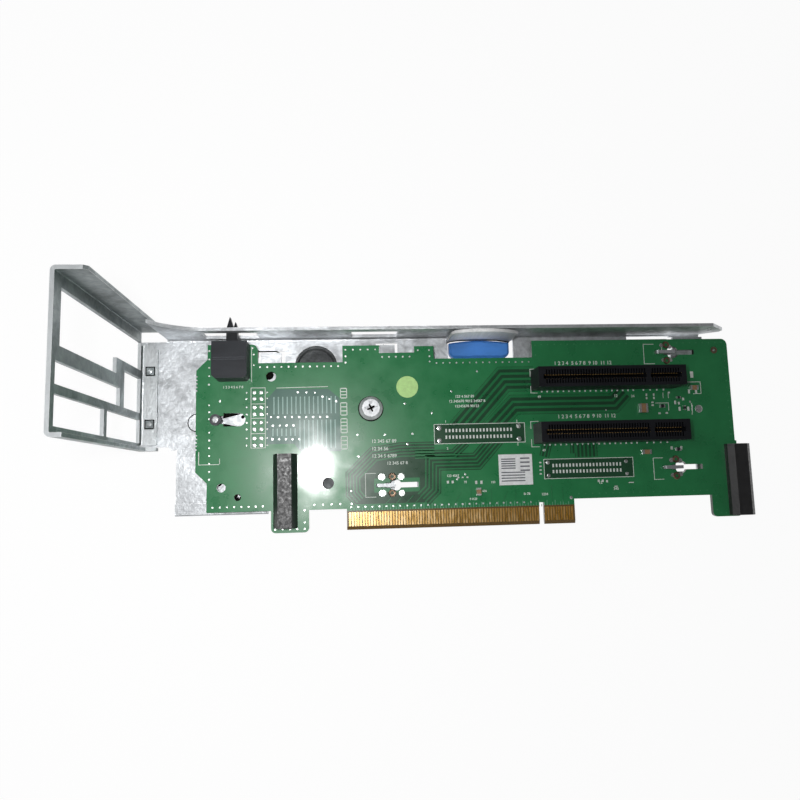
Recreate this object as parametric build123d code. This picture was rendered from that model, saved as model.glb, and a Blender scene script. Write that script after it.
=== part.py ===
from build123d import *
import os

# A riser for two expansion cards: a circuit board held on a folded steel
# carrier, with a second folded sheet standing up at its left end.
# Millimetres. X runs along the card edge, Y across the board away from that
# edge, Z out of the component side. The origin is the middle of the key notch
# at the tip of the card edge, on the component side.

# Sheet metal
sheet = 1.2
bend = 0.8
rivet_clearance = 0.05

# Board
board_thickness = 1.57
board_gap = 2.6
board_left = -127.3
board_right = 77.2
corner_cut = 4.1
board_corner = 2.4
switch_end_top = 69.3
switch_end_drop = 5.5
switch_end_left = -123.2
switch_end_right = -104.75
hole_notch_floor = 62.2
hole_notch_right = -73.35
middle_top = 68.5
middle_right = -59.5
step_top = 65.55
step_right = -46.2
bump_top = 68.0
bump_right = -38.8
pad_notch_floor = 63.1
pad_notch_right = -0.8
slot_end_top = 69.6
lower_left_edge = 18.1
left_edge_bottom = 7.6
guide_tab_gap = 13.8
guide_tab_width = 13.7
guide_tab_bottom = -0.4
right_edge_bottom = 9.0
end_tab_width = 11.5
end_tab_proud = 0.6
end_tab_bottom = 0.8
end_tab_top = 29.6
nick_groups = (33.0, 54.8)
nick_reach = 2
nick_pitch = 1.3
nick_depth = 0.5

# Card edge: contact 11 and contact 12 stand on either side of the key
contact_pitch = 1.0
first_count = 11
card_edge_count = 82
key_to_contact = 1.5
key_width = 1.9
key_depth = 8.0
edge_margin = 1.1
finger_width = 0.7
finger_start = 1.3
finger_length = 5.0
finger_thickness = 0.05
edge_bevel = 1.2
edge_bevel_depth = 0.4

# Slots
slot_key_x = 39.77
upper_slot_y = 53.9
slot_spacing = 20.32
slot_width = 7.5
slot_height = 11.25
slot_contact_count = 49
slot_short_end = 14.5
slot_long_end = 41.5
groove_width = 1.75
groove_depth = 8.6
groove_end_gap = 0.1
slot_key_thickness = 1.6
channel_width = 0.6
channel_span = 5.2
leaf_width = 0.4
leaf_thickness = 0.22
leaf_foot = 2.2
leaf_tip = 0.62
leaf_height = 9.6

# Hooks of the carrier and their slots in the board
hook_head = 2.0
hook_clearance = 0.15
hook_reach = 3.6
hook_neck = 3.6
hook_slot_width = 1.9
hook_slot_length = 12.2
hook_bore = 2.3
low_hook_x = -58.2
low_hook_y = 15.85
end_hook_inset = 25.85
upper_hook_y = 64.4
lower_hook_y = 19.9
lance_width = 3.4

# Joggled tabs that carry the back of the board
rest_ramp = 3.0
rest_seat = 4.0
left_rest = (-104.0, -96.25, 66.4)
middle_rest = (-59.3, -53.4, 69.0)
end_rest_inset = 9.1
end_rest_width = 11.9
end_rest_top = 70.8

# Carrier plate and flange
carrier_left = -149.15
carrier_end_inset = 9.1
carrier_bottom = 11.0
carrier_corner = 5.0
foot_left = -135.1
foot_right = -101.5
foot_bottom = 6.5
hem_width = 4.4
hem_chamfer = 0.5
step_left = -137.8
step_y = 31.85
flange_inside = 72.2
flange_left = -138.9
flange_end_inset = 3.4
flange_top = 10.6
flange_flare = 24.0
flare_width = 17.0
nose_drop = 7.0
nose_length = 7.2
nose_rise = 4.6
nose_hole_inset = 5.6
nose_hole_z = 4.2
nose_hole_radius = 0.95
switch_window = (-124.2, -104.5)
middle_window = (-69.8, -52.7)
flange_window_low = -2.6
flange_window_high = 6.8
round_hole = (-83.4, 61.3, 8.2)
edge_hole = (-127.75, 40.7, 3.5)
guide_hole_x = -79.3
guide_hole_y = 17.1
guide_hole_radius = 2.1
guide_hole_relief = 0.6
tool_holes = ((-99.97, 57.08, 1.84), (-118.0, 16.4, 1.6), (-112.1, 12.8, 1.25))
flange_slot_inset = 21.2
flange_slot_length = 17.4
flange_slot_low = 70.6

# Touch pad and its window
pad_left = -32.4
pad_right = -9.0
pad_bottom = 63.7
pad_top = 70.4
pad_crown = 0.9
pad_height = 3.2
pad_round = 2.4
pad_side_gap = 2.0
pad_window_gap = 0.3
pad_tongue = 5.5
pad_tongue_height = 1.2
bow_rise = 7.5
bow_drop = 1.6

# Side frame
frame_outside = -149.15
frame_height = 73.8
frame_bottom = 30.3
frame_top = 75.9
frame_top_flange = 9.6
frame_flange_chamfer = 1.2
frame_bend = 0.3
frame_bottom_flange = 4.4
frame_lug = 3.6
frame_lug_height = 3.4
window_foot_gap = 0.2
strip_right = -142.1
strip_bottom = 32.7
strip_top = 69.9
strip_corner = 1.5
rivet_x = -144.6
rivet_low = 40.3
rivet_high = 60.1
rivet_width = 2.2
rivet_head = 3.6
rivet_head_height = 0.6

# Edges of the side frame's windows, as shares of its width and of its height
window_top = 0.8925
post_top = 0.66
link_bottom = 0.592
upper_bar_top = 0.543
upper_bar_bottom = 0.4485
lower_bar_top = 0.3114
lower_bar_bottom = 0.2544
window_bottom = 0.0669
window_near = 0.935
lower_window_near = 0.966
post_near = 0.3306
post_mid = 0.2751
post_far = 0.2168
strut_near = 0.469
strut_far = 0.4336

# Screw, standoff and keyhole stud
screw_x = -63.1
screw_y = 44.4
screw_radius = 1.5
screw_head = 4.35
screw_head_height = 2.8
screw_head_round = 1.1
screw_length = 5.2
recess_width = 1.0
recess_length = 4.6
recess_depth = 1.6
thread_clearance = 0.1
standoff_radius = 3.2
stud_x = -120.1
stud_y = 41.2
stud_head = 2.1
stud_head_height = 0.9
stud_shank = 1.2
stud_base = 2.0
stud_clearance = 0.15
keyhole_entry = 2.45
keyhole_length = 8.3
keyhole_entry_start = 2.8
keyhole_neck = 1.5

# Moulded guides
guide_bottom = 1.3
guide_length = 26.9
guide_width = 8.8
guide_height = 4.0
guide_slope = 1.9
left_guide_inset = 0.8
right_guide_proud = 3.7
right_guide_wall = 2.3
right_guide_foot_inset = 2.8
guide_foot_width = 2.0
guide_foot_length = 3.5
guide_foot_inset = 3.5
guide_foot_depth = 3.0
foot_clearance = 0.1

# Switch
switch_left = -120.2
switch_right = -107.65
switch_low = 55.4
switch_high = 68.9
switch_height = 9.0
switch_wall = 1.2
switch_chamfer = 1.2
plunger_x = -113.4
plunger_z = 4.5
plunger_width = 4.0
plunger_thickness = 3.0
plunger_clearance = 0.2
plunger_reach = 9.6
plunger_taper = 4.6
side_rib_drop = 1.9
side_rib = 1.4
plunger_travel = 3.0
collar_width = 7.0
collar_length = 2.0
spring_width = 3.0
spring_strip = 0.35
spring_folds = 4
terminal_width = 1.6
terminal_height = 6.0
terminal_thickness = 0.5
terminal_inset = 1.4

# Stickers and small parts
label_box = (-15.6, -2.8, 14.7, 26.15)
label_thickness = 0.1
dot_x = -49.2
dot_y = 52.4
dot_radius = 4.1
capacitors = ((41.5, 42.7, 3.0, 3.4), (41.6, 25.9, 3.2, 1.6), (62.2, 50.3, 3.0, 1.7), (-23.6, 12.6, 1.6, 2.6))
capacitor_height = 1.2
resistors = ((49.2, 43.4, 2.0, 1.25), (55.9, 46.6, 1.6, 0.8), (54.3, 26.7, 2.0, 1.25), (58.1, 42.6, 0.8, 1.6))
resistor_height = 0.5

board_back = -board_thickness
plate_front = board_back - board_gap
plate_back = plate_front - sheet
flange_outside = flange_inside + sheet
lower_slot_y = upper_slot_y - slot_spacing
card_edge_left = -key_to_contact - contact_pitch * (card_edge_count - first_count - 1) - edge_margin
card_edge_right = key_to_contact + contact_pitch * (first_count - 1) + edge_margin
plunger_tip = switch_high + plunger_reach
side_rib_tip = plunger_tip - side_rib_drop
guide_tab_right = card_edge_left - guide_tab_gap
guide_tab_left = guide_tab_right - guide_tab_width
end_tab_right = board_right + end_tab_proud
end_tab_left = end_tab_right - end_tab_width
left_guide_left = guide_tab_left + left_guide_inset
right_guide_left = end_tab_right + right_guide_proud - guide_width
right_guide_foot_x = end_tab_right - right_guide_foot_inset
low_hook = (low_hook_x, low_hook_y)
upper_hook = (board_right - end_hook_inset, upper_hook_y)
lower_hook = (board_right - end_hook_inset, lower_hook_y)
right_rest = (board_right - end_rest_inset - end_rest_width, board_right - end_rest_inset, end_rest_top)
carrier_right = board_right - carrier_end_inset
flange_right = board_right - flange_end_inset
nose_hole = (flange_right - nose_hole_inset, nose_hole_z, nose_hole_radius)
flange_slot = (board_right - flange_slot_inset - flange_slot_length, board_right - flange_slot_inset)
cut = 1.0


def area(x0, x1, y0, y1):
    """Rectangle between two corners."""
    return Pos((x0 + x1) / 2, (y0 + y1) / 2) * Rectangle(x1 - x0, y1 - y0)


def disc(x, y, radius):
    return Pos(x, y) * Circle(radius)


def polygon(*points):
    """Face with the given corners, whichever way round they run."""
    ring = zip(points, points[1:] + points[:1])
    turn = sum(x0 * y1 - x1 * y0 for (x0, y0), (x1, y1) in ring)
    if turn < 0:
        points = points[::-1]
    return make_face(Polyline(*points, close=True))


def along_x(face, x0, x1):
    """Extrude a face drawn in Y and Z."""
    return extrude(Plane.YZ.offset(x0) * face, x1 - x0)


def along_y(face, y0, y1):
    """Extrude a face drawn in X and Z."""
    return extrude(Plane.XZ.offset(-y1) * face, y1 - y0)


def along_z(face, z0, z1):
    """Extrude a face drawn in X and Y."""
    return extrude(Plane.XY.offset(z0) * face, z1 - z0)


def corner(face, x, y):
    """The vertex of a flat face that lies nearest to a point."""
    return face.vertices().sort_by_distance((x, y, 0))[0]


def stepped(left, upper, lower):
    """Face between two stepped edges, each step given as its right end and height."""
    points = []
    x = left
    for end, y in upper:
        points += [(x, y), (end, y)]
        x = end
    starts = [left] + [end for end, y in lower[:-1]]
    for (end, y), start in zip(reversed(lower), reversed(starts)):
        points += [(end, y), (start, y)]
    return polygon(*points)


def key_offsets(count):
    """Distances from the key of the first contacts of a connector."""
    short = [key_to_contact + contact_pitch * i for i in range(first_count)]
    long = [-key_to_contact - contact_pitch * i for i in range(count - first_count)]
    return short + long


def hook_cut(hook):
    """Board slot for one hook, with the round bore at its middle."""
    x, y = hook
    slot = area(x, x + hook_slot_length, y - hook_slot_width / 2, y + hook_slot_width / 2)
    return slot + disc(x + hook_neck, y, hook_bore)


def keyhole():
    """Neck round the stud and the wider entry to its right."""
    neck = disc(stud_x, stud_y, keyhole_neck) + area(
        stud_x, stud_x + keyhole_length, stud_y - keyhole_neck, stud_y + keyhole_neck
    )
    entry = area(
        stud_x + keyhole_entry_start, stud_x + keyhole_length,
        stud_y - keyhole_entry, stud_y + keyhole_entry,
    )
    return neck + entry + disc(stud_x + keyhole_length, stud_y, keyhole_entry)


def board_outline():
    upper = [
        (switch_end_left, switch_end_top - switch_end_drop), (switch_end_right, switch_end_top),
        (hole_notch_right, hole_notch_floor), (middle_right, middle_top),
        (step_right, step_top), (bump_right, bump_top),
        (pad_notch_right, pad_notch_floor), (board_right, slot_end_top),
    ]
    lower = [
        (switch_end_left, lower_left_edge), (guide_tab_left, left_edge_bottom),
        (guide_tab_right, guide_tab_bottom), (card_edge_left, left_edge_bottom),
        (-key_width / 2, 0), (key_width / 2, key_depth),
        (card_edge_right, 0), (end_tab_left, right_edge_bottom),
        (board_right, end_tab_bottom),
    ]
    outline = stepped(board_left, upper, lower)
    outline += area(end_tab_left, end_tab_right, end_tab_bottom, end_tab_top)
    cuts = [corner(outline, board_left, upper[0][1]), corner(outline, board_left, lower_left_edge)]
    outline = chamfer(cuts, corner_cut)
    outline = fillet(
        [corner(outline, switch_end_right, switch_end_top), corner(outline, board_right, slot_end_top)],
        board_corner,
    )
    rounded = [
        corner(outline, guide_tab_left, guide_tab_bottom),
        corner(outline, guide_tab_right, guide_tab_bottom),
        corner(outline, end_tab_left, end_tab_bottom),
        corner(outline, end_tab_right, end_tab_bottom),
    ]
    return fillet(rounded, board_corner * 0.7)


def edge_nicks():
    """Nicks left where the board was snapped off its panel."""
    nicks = Sketch()
    for middle in nick_groups:
        for step in range(-nick_reach, nick_reach + 1):
            y = middle + step * nick_pitch
            nicks += area(board_left - cut, board_left + nick_depth, y - nick_depth / 2, y + nick_depth / 2)
    return nicks


def guide_feet(middle, gap):
    """Section of the two snap feet below a guide, with a gap all round."""
    feet = Sketch()
    half = guide_foot_width / 2 + gap
    low = guide_bottom + guide_foot_inset
    high = guide_bottom + guide_length - guide_foot_inset - guide_foot_length
    for y in (low, high):
        feet += area(middle - half, middle + half, y - gap, y + guide_foot_length + gap)
    return feet


def circuit_board():
    outline = board_outline()
    for hook in (low_hook, upper_hook, lower_hook):
        outline -= hook_cut(hook)
    for x, y, radius in tool_holes:
        outline -= disc(x, y, radius)
    outline -= disc(guide_hole_x, guide_hole_y, guide_hole_radius)
    outline -= disc(screw_x, screw_y, screw_radius + thread_clearance)
    outline -= keyhole()
    outline -= edge_nicks()
    outline -= guide_feet(left_guide_left + guide_width / 2, foot_clearance)
    outline -= guide_feet(right_guide_foot_x, foot_clearance)
    board = along_z(outline, board_back, 0)
    front = polygon((0, 0), (edge_bevel, 0), (0, -edge_bevel_depth))
    back = polygon((0, board_back), (edge_bevel, board_back), (0, board_back + edge_bevel_depth))
    bevels = along_x(front, card_edge_left, card_edge_right) + along_x(back, card_edge_left, card_edge_right)
    return board - bevels


def edge_contacts(z0, z1):
    """One row of card edge fingers."""
    fingers = []
    for x in key_offsets(card_edge_count):
        finger = area(x - finger_width / 2, x + finger_width / 2, finger_start, finger_start + finger_length)
        fingers.append(along_z(finger, z0, z1))
    return Compound(fingers)


def slot_housing(slot_y):
    """Slot moulding with its card groove, key and a channel for each pair of contacts."""
    left = slot_key_x - slot_long_end
    right = slot_key_x + slot_short_end
    section = area(slot_y - slot_width / 2, slot_y + slot_width / 2, 0, slot_height)
    groove_floor = slot_height - groove_depth
    groove = area(slot_y - groove_width / 2, slot_y + groove_width / 2, groove_floor, slot_height + cut)
    long_end = key_to_contact + contact_pitch * (slot_contact_count - first_count - 1) + edge_margin
    short_end = key_to_contact + contact_pitch * (first_count - 1) + edge_margin
    groove_left = slot_key_x - long_end - groove_end_gap
    groove_right = slot_key_x + short_end + groove_end_gap
    body = along_x(section, left, right)
    body -= along_x(groove, groove_left, slot_key_x - slot_key_thickness / 2)
    body -= along_x(groove, slot_key_x + slot_key_thickness / 2, groove_right)
    channels = Sketch()
    for offset in key_offsets(slot_contact_count):
        x = slot_key_x + offset
        channels += area(
            x - channel_width / 2, x + channel_width / 2,
            slot_y - channel_span / 2, slot_y + channel_span / 2,
        )
    return body - along_z(channels, -cut, slot_height + cut)


def slot_leaves(slot_y):
    """Facing rows of spring leaves that stand on the board and lean into the groove."""
    leaves = []
    for side in (-1, 1):
        profile = polygon(
            (slot_y + side * leaf_foot, 0),
            (slot_y + side * leaf_tip, leaf_height),
            (slot_y + side * (leaf_tip + leaf_thickness), leaf_height),
            (slot_y + side * (leaf_foot + leaf_thickness), 0),
        )
        for offset in key_offsets(slot_contact_count):
            x = slot_key_x + offset
            leaves.append(along_x(profile, x - leaf_width / 2, x + leaf_width / 2))
    return Compound(leaves)


def rivet_shanks(gap):
    """Square sections of the joints between the two sheets, with a gap all round."""
    width = rivet_width + gap * 2
    return Pos(rivet_x, rivet_low) * Rectangle(width, width) + Pos(rivet_x, rivet_high) * Rectangle(width, width)


def foot_hem():
    """Edge of the foot folded back on itself."""
    low = foot_bottom
    high = foot_bottom + hem_width
    top = plate_front + sheet
    section = polygon(
        (low, plate_front), (low, top - hem_chamfer), (low + hem_chamfer, top), (high, top), (high, plate_front)
    )
    return along_x(section, foot_left, foot_right)


def pad_window():
    """Opening in the plate for the touch pad."""
    return area(
        pad_left - pad_window_gap, pad_right + pad_side_gap,
        pad_bottom - pad_window_gap, flange_inside - bend,
    )


def carrier_face():
    """Flat outline of the plate, up to the fold of the flange."""
    fold = flange_inside - bend
    plate = area(carrier_left, carrier_right, step_y, fold)
    plate += area(step_left, carrier_right, carrier_bottom, fold)
    plate = fillet(corner(plate, carrier_right, carrier_bottom), carrier_corner)
    plate += area(foot_left, foot_right, foot_bottom, carrier_bottom + carrier_corner)
    plate -= area(step_left - cut, foot_left, carrier_bottom - cut, step_y - sheet)
    plate -= pad_window()
    plate -= disc(*round_hole)
    plate -= disc(*edge_hole)
    plate -= disc(guide_hole_x, guide_hole_y, guide_hole_radius + guide_hole_relief)
    plate -= rivet_shanks(rivet_clearance)
    plate -= disc(screw_x, screw_y, screw_radius + thread_clearance)
    plate -= disc(stud_x, stud_y, stud_shank + rivet_clearance)
    for x, y in (low_hook, upper_hook, lower_hook):
        plate -= area(x + hook_neck, x + hook_slot_length, y - lance_width / 2, y + lance_width / 2)
    for x0, x1, y1 in (left_rest, middle_rest, right_rest):
        plate -= area(x0 - sheet, x1 + sheet, y1 - rest_seat - rest_ramp, min(y1 + sheet, fold))
    return plate


def flange_face():
    """Flange outline in X and Z: flared at the left, nosed at the right, with its windows."""
    low = plate_front + bend
    flange = area(flange_left, flange_right, low, flange_top)
    flare = polygon(
        (flange_left, flange_top - cut), (flange_left, flange_flare),
        (flange_left + flare_width, flange_top), (flange_left + flare_width, flange_top - cut),
    )
    hollow = Line((flange_left, flange_flare), (flange_left + flare_width, flange_top))
    sweep_side = ThreePointArc(
        hollow @ 0, (flange_left + flare_width * 0.4, flange_top + (flange_flare - flange_top) * 0.33), hollow @ 1
    )
    flare -= make_face(Wire([hollow, sweep_side]))
    nose = polygon(
        (flange_right - nose_length, flange_top + cut), (flange_right - nose_length, flange_top),
        (flange_right, flange_top - nose_drop), (flange_right + cut, flange_top - nose_drop),
        (flange_right + cut, flange_top + cut),
    )
    under_nose = polygon(
        (carrier_right, low - cut), (carrier_right, low), (flange_right, low + nose_rise),
        (flange_right + cut, low + nose_rise), (flange_right + cut, low - cut),
    )
    flange = flange + flare - nose - under_nose
    for x0, x1 in (switch_window, middle_window):
        flange -= area(x0, x1, flange_window_low, flange_window_high)
    return flange - disc(*nose_hole)


def hook(place):
    """Lanced hook: its neck stands on the plate and its head reaches over the board."""
    x, y = place
    neck = area(x + hook_clearance, x + hook_neck, plate_front - sheet / 2, hook_clearance)
    head = area(x - hook_reach, x + hook_neck, hook_clearance, hook_clearance + hook_head)
    face = fillet(corner(head, x - hook_reach, hook_clearance + hook_head), hook_head * 0.4) + neck
    return along_y(face, y - sheet / 2, y + sheet / 2)


def joggled_tab(place):
    """Tab pressed up from the plate until it carries the back of the board."""
    x0, x1, end = place
    seat = end - rest_seat
    root = seat - rest_ramp
    section = polygon(
        (root - cut, plate_back), (root, plate_back), (seat, board_back - sheet),
        (end, board_back - sheet), (end, board_back), (seat, board_back),
        (root, plate_front), (root - cut, plate_front),
    )
    return along_x(section, x0, x1)


def pad_bow():
    """Strip of the fold that is pressed in over the touch pad."""
    low = plate_front
    section = polygon(
        (flange_inside + sheet / 2, bow_rise), (flange_inside, bow_rise), (flange_inside - bow_drop, low),
        (flange_inside - bow_drop + sheet, low - sheet), (flange_outside, low + bow_drop),
        (flange_outside, bow_rise),
    )
    left = pad_left - pad_window_gap
    right = pad_right + pad_side_gap
    arc = ThreePointArc((left, low), ((left + right) / 2, bow_rise), (right, low))
    arch = make_face(Wire([arc, Line(arc @ 1, arc @ 0)])) + area(left, right, low - sheet, low)
    return along_x(section, left, right) & along_y(arch, pad_bottom, flange_outside)


def carrier_plate():
    """Plate, fold and flange of one sheet, with the hooks and tabs lanced from it."""
    fold = flange_inside - bend
    ring = disc(fold, plate_front + bend, bend + sheet) - disc(fold, plate_front + bend, bend)
    quarter = ring & area(fold, flange_outside, plate_back, plate_front + bend)
    body = along_z(carrier_face(), plate_back, plate_front)
    body += along_x(quarter, flange_left, carrier_right)
    body += along_y(flange_face(), flange_inside, flange_outside)
    for x0, x1 in (switch_window, middle_window):
        body -= along_y(area(x0, x1, flange_window_low, flange_window_high), fold, flange_outside + cut)
    body -= along_z(area(*flange_slot, flange_slot_low, fold + bend / 2), plate_back - cut, plate_front + cut)
    body += pad_bow() + foot_hem()
    for place in (low_hook, upper_hook, lower_hook):
        body += hook(place)
    for place in (left_rest, middle_rest, right_rest):
        body += joggled_tab(place)
    return body


def frame_opening(bottom, top, far, near):
    """Window of the side frame, drawn in Y and Z; a far share of None reaches down to the foot."""
    width = frame_top - frame_bottom
    foot_gap = plate_front + sheet + bend + window_foot_gap
    start = foot_gap if far is None else frame_height * far
    return area(frame_bottom + width * bottom, frame_bottom + width * top, start, frame_height * near)


def frame_windows():
    """Openings of the side frame's web."""
    upper = frame_opening(upper_bar_top, window_top, post_near, window_near)
    upper += frame_opening(post_top, window_top, None, window_near)
    middle = frame_opening(lower_bar_top, upper_bar_bottom, post_mid, lower_window_near)
    small = frame_opening(lower_bar_top, link_bottom, None, post_far)
    near_low = frame_opening(window_bottom, lower_bar_bottom, strut_near, lower_window_near)
    far_low = frame_opening(window_bottom, lower_bar_bottom, None, strut_far)
    return upper + middle + small + near_low + far_low


def channel_section():
    """The side frame's web and two flanges, seen along its height."""
    right = frame_outside + frame_top_flange
    inside = frame_outside + sheet
    outer = area(frame_outside, right, frame_bottom, frame_top)
    corners = [corner(outer, frame_outside, frame_bottom), corner(outer, frame_outside, frame_top)]
    outer = fillet(corners, frame_bend + sheet)
    inner = area(inside, right + cut, frame_bottom + sheet, frame_top - sheet)
    corners = [corner(inner, inside, frame_bottom + sheet), corner(inner, inside, frame_top - sheet)]
    inner = fillet(corners, frame_bend)
    past_bottom_flange = area(
        frame_outside + frame_bottom_flange, right + cut, frame_bottom - cut, frame_bottom + sheet
    )
    return outer - inner - past_bottom_flange


def side_frame():
    """Standing sheet: web, two flanges and the foot strip that lies on the carrier."""
    inside = frame_outside + sheet
    right = frame_outside + frame_top_flange
    foot = plate_front + sheet + bend
    body = along_z(channel_section(), foot, frame_height)
    body -= along_x(frame_windows(), frame_outside - cut, inside + cut)
    trimmed = polygon(
        (right - frame_flange_chamfer, frame_height), (right, frame_height - frame_flange_chamfer),
        (right + cut, frame_height - frame_flange_chamfer), (right + cut, frame_height + cut),
        (right - frame_flange_chamfer, frame_height + cut),
    )
    body -= along_y(trimmed, frame_top - sheet - cut, frame_top + cut)
    lug_left = frame_outside + frame_bottom_flange - sheet
    lug = area(lug_left, lug_left + sheet + frame_lug, foot, foot + frame_lug_height)
    body += along_y(lug, frame_bottom, frame_bottom + sheet)
    strip = area(frame_outside, strip_right, plate_front, foot)
    strip = fillet(corner(strip, frame_outside, plate_front), bend + sheet)
    hollow = area(inside, strip_right + cut, plate_front + sheet, foot + cut)
    hollow = fillet(corner(hollow, inside, plate_front + sheet), bend)
    section = strip - hollow
    face = area(frame_outside, strip_right, strip_bottom, strip_top)
    face = chamfer(corner(face, strip_right, strip_top), strip_corner)
    body += along_y(section, strip_bottom, strip_top) & along_z(face, plate_front - cut, foot + cut)
    return body - along_z(rivet_shanks(rivet_clearance), plate_front - cut, foot)


def frame_rivets():
    """Square pressed joints through the foot strip and the carrier, flush at the back."""
    top = plate_front + sheet
    rivets = []
    for y in (rivet_low, rivet_high):
        shank = along_z(Pos(rivet_x, y) * Rectangle(rivet_width, rivet_width), plate_back, top)
        head = along_z(Pos(rivet_x, y) * Rectangle(rivet_head, rivet_head), top, top + rivet_head_height)
        rivets.append(shank + head)
    return Compound(rivets)


def board_standoff():
    """Threaded spacer between the plate and the board."""
    outside = Pos(screw_x, screw_y) * RegularPolygon(standoff_radius, 6)
    bore = disc(screw_x, screw_y, screw_radius + thread_clearance)
    return along_z(outside - bore, plate_front, board_back)


def mounting_screw():
    """Pan head screw with a cross recess."""
    head = along_z(disc(screw_x, screw_y, screw_head), 0, screw_head_height)
    head = chamfer(head.faces().sort_by(Axis.Z)[-1].edges(), screw_head_round)
    cross = area(
        screw_x - recess_length / 2, screw_x + recess_length / 2,
        screw_y - recess_width / 2, screw_y + recess_width / 2,
    )
    cross += area(
        screw_x - recess_width / 2, screw_x + recess_width / 2,
        screw_y - recess_length / 2, screw_y + recess_length / 2,
    )
    head -= along_z(cross, screw_head_height - recess_depth, screw_head_height + cut)
    return head + along_z(disc(screw_x, screw_y, screw_radius), -screw_length, 0)


def keyhole_stud():
    """Headed stud of the carrier, over the keyhole's neck."""
    base = Pos(stud_x, stud_y) * RegularPolygon(stud_base, 6)
    foot = along_z(base, plate_front, board_back - stud_clearance)
    shank = along_z(disc(stud_x, stud_y, stud_shank), plate_back, stud_clearance)
    head = along_z(disc(stud_x, stud_y, stud_head), stud_clearance, stud_clearance + stud_head_height)
    return foot + shank + head


def left_guide():
    """Guide rail with two sloping sides."""
    left = left_guide_left
    section = polygon(
        (left, 0), (left + guide_slope, guide_height), (left + guide_width - guide_slope, guide_height),
        (left + guide_width, 0),
    )
    rail = along_y(section, guide_bottom, guide_bottom + guide_length)
    return rail + along_z(guide_feet(left + guide_width / 2, 0), -guide_foot_depth, 0)


def right_guide():
    """Guide rail at the board's right edge, upright on its inner side."""
    left = right_guide_left
    section = polygon(
        (left, 0), (left, right_guide_wall), (left + guide_slope, guide_height),
        (left + guide_width - guide_slope, guide_height), (left + guide_width, right_guide_wall),
        (left + guide_width, 0),
    )
    rail = along_y(section, guide_bottom, guide_bottom + guide_length)
    return rail + along_z(guide_feet(right_guide_foot_x, 0), -guide_foot_depth, 0)


def switch_housing():
    """Moulded cover, open towards the board, with the plunger's port in its upper wall."""
    outline = area(switch_left, switch_right, switch_low, switch_high)
    outline = chamfer(
        [corner(outline, switch_left, switch_low), corner(outline, switch_right, switch_low)], switch_chamfer
    )
    room = area(
        switch_left + switch_wall, switch_right - switch_wall,
        switch_low + switch_wall, switch_high - switch_wall,
    )
    body = along_z(outline, 0, switch_height) - along_z(room, -cut, switch_height - switch_wall)
    port = area(
        plunger_x - plunger_width / 2 - plunger_clearance, plunger_x + plunger_width / 2 + plunger_clearance,
        plunger_z - plunger_thickness / 2 - plunger_clearance,
        plunger_z + plunger_thickness / 2 + plunger_clearance,
    )
    return body - along_y(port, switch_high - switch_wall - cut, switch_high + cut)


def switch_plunger():
    """Plunger with a retaining collar, a pointed tip and a shorter rib beside it."""
    left = plunger_x - plunger_width / 2
    right = plunger_x + plunger_width / 2
    collar_top = switch_high - switch_wall
    rib_left = right - side_rib
    shape = polygon(
        (left, collar_top - collar_length), (right, collar_top - collar_length),
        (right, side_rib_tip - plunger_taper / 2), (right - side_rib / 2, side_rib_tip),
        (rib_left, side_rib_tip - plunger_taper / 2),
        ((left + rib_left) / 2, plunger_tip), (left, plunger_tip - plunger_taper),
    )
    collar = area(
        plunger_x - collar_width / 2, plunger_x + collar_width / 2, collar_top - collar_length, collar_top
    )
    return along_z(shape + collar, plunger_z - plunger_thickness / 2, plunger_z + plunger_thickness / 2)


def switch_spring():
    """Folded strip between the collar and the housing's lower wall."""
    low = switch_low + switch_wall
    high = switch_high - switch_wall - collar_length
    rise = (high - low - spring_strip) / spring_folds
    side = spring_width / 2
    strip = Sketch()
    for fold in range(spring_folds):
        y0 = low + rise * fold
        y1 = y0 + rise
        strip += polygon(
            (plunger_x + side, y0), (plunger_x - side, y1),
            (plunger_x - side, y1 + spring_strip), (plunger_x + side, y0 + spring_strip),
        )
        side = -side
    return along_z(strip, plunger_z - spring_width / 2, plunger_z + spring_width / 2)


def switch_contacts():
    """Two contact strips that stand on the board at either side of the plunger."""
    strips = []
    low = switch_low + switch_wall + terminal_inset
    for side in (-1, 1):
        wall = switch_left + switch_wall if side < 0 else switch_right - switch_wall
        near = wall - side * terminal_thickness
        far = near - side * terminal_thickness
        face = area(min(near, far), max(near, far), low, low + terminal_width)
        strips.append(along_z(face, 0, terminal_height))
    return Compound(strips)


def touch_pad():
    """Crowned pad with a tongue that lies on the plate under the board."""
    face = area(pad_left, pad_right, pad_bottom, pad_top - pad_crown)
    arc = ThreePointArc(
        (pad_left, pad_top - pad_crown), ((pad_left + pad_right) / 2, pad_top), (pad_right, pad_top - pad_crown)
    )
    crown = make_face(Wire([arc, Line(arc @ 1, arc @ 0)]))
    face = fillet([corner(face, pad_left, pad_bottom), corner(face, pad_right, pad_bottom)], pad_round) + crown
    body = along_z(face, plate_back, plate_back + pad_height)
    body = chamfer(body.faces().sort_by(Axis.Z)[-1].edges(), pad_height * 0.25)
    tongue = area(
        pad_left + pad_round, pad_right - pad_round, pad_bottom - pad_tongue, pad_bottom + cut
    )
    return body + along_z(tongue, plate_front, plate_front + pad_tongue_height)


def label_sticker():
    return along_z(area(*label_box), 0, label_thickness)


def inspection_dot():
    return along_z(disc(dot_x, dot_y, dot_radius), 0, label_thickness)


def chips(places, height):
    """Small surface parts: middle, length and width of each."""
    bodies = []
    for x, y, length, width in places:
        bodies.append(along_z(area(x - length / 2, x + length / 2, y - width / 2, y + width / 2), 0, height))
    return Compound(bodies)


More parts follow.
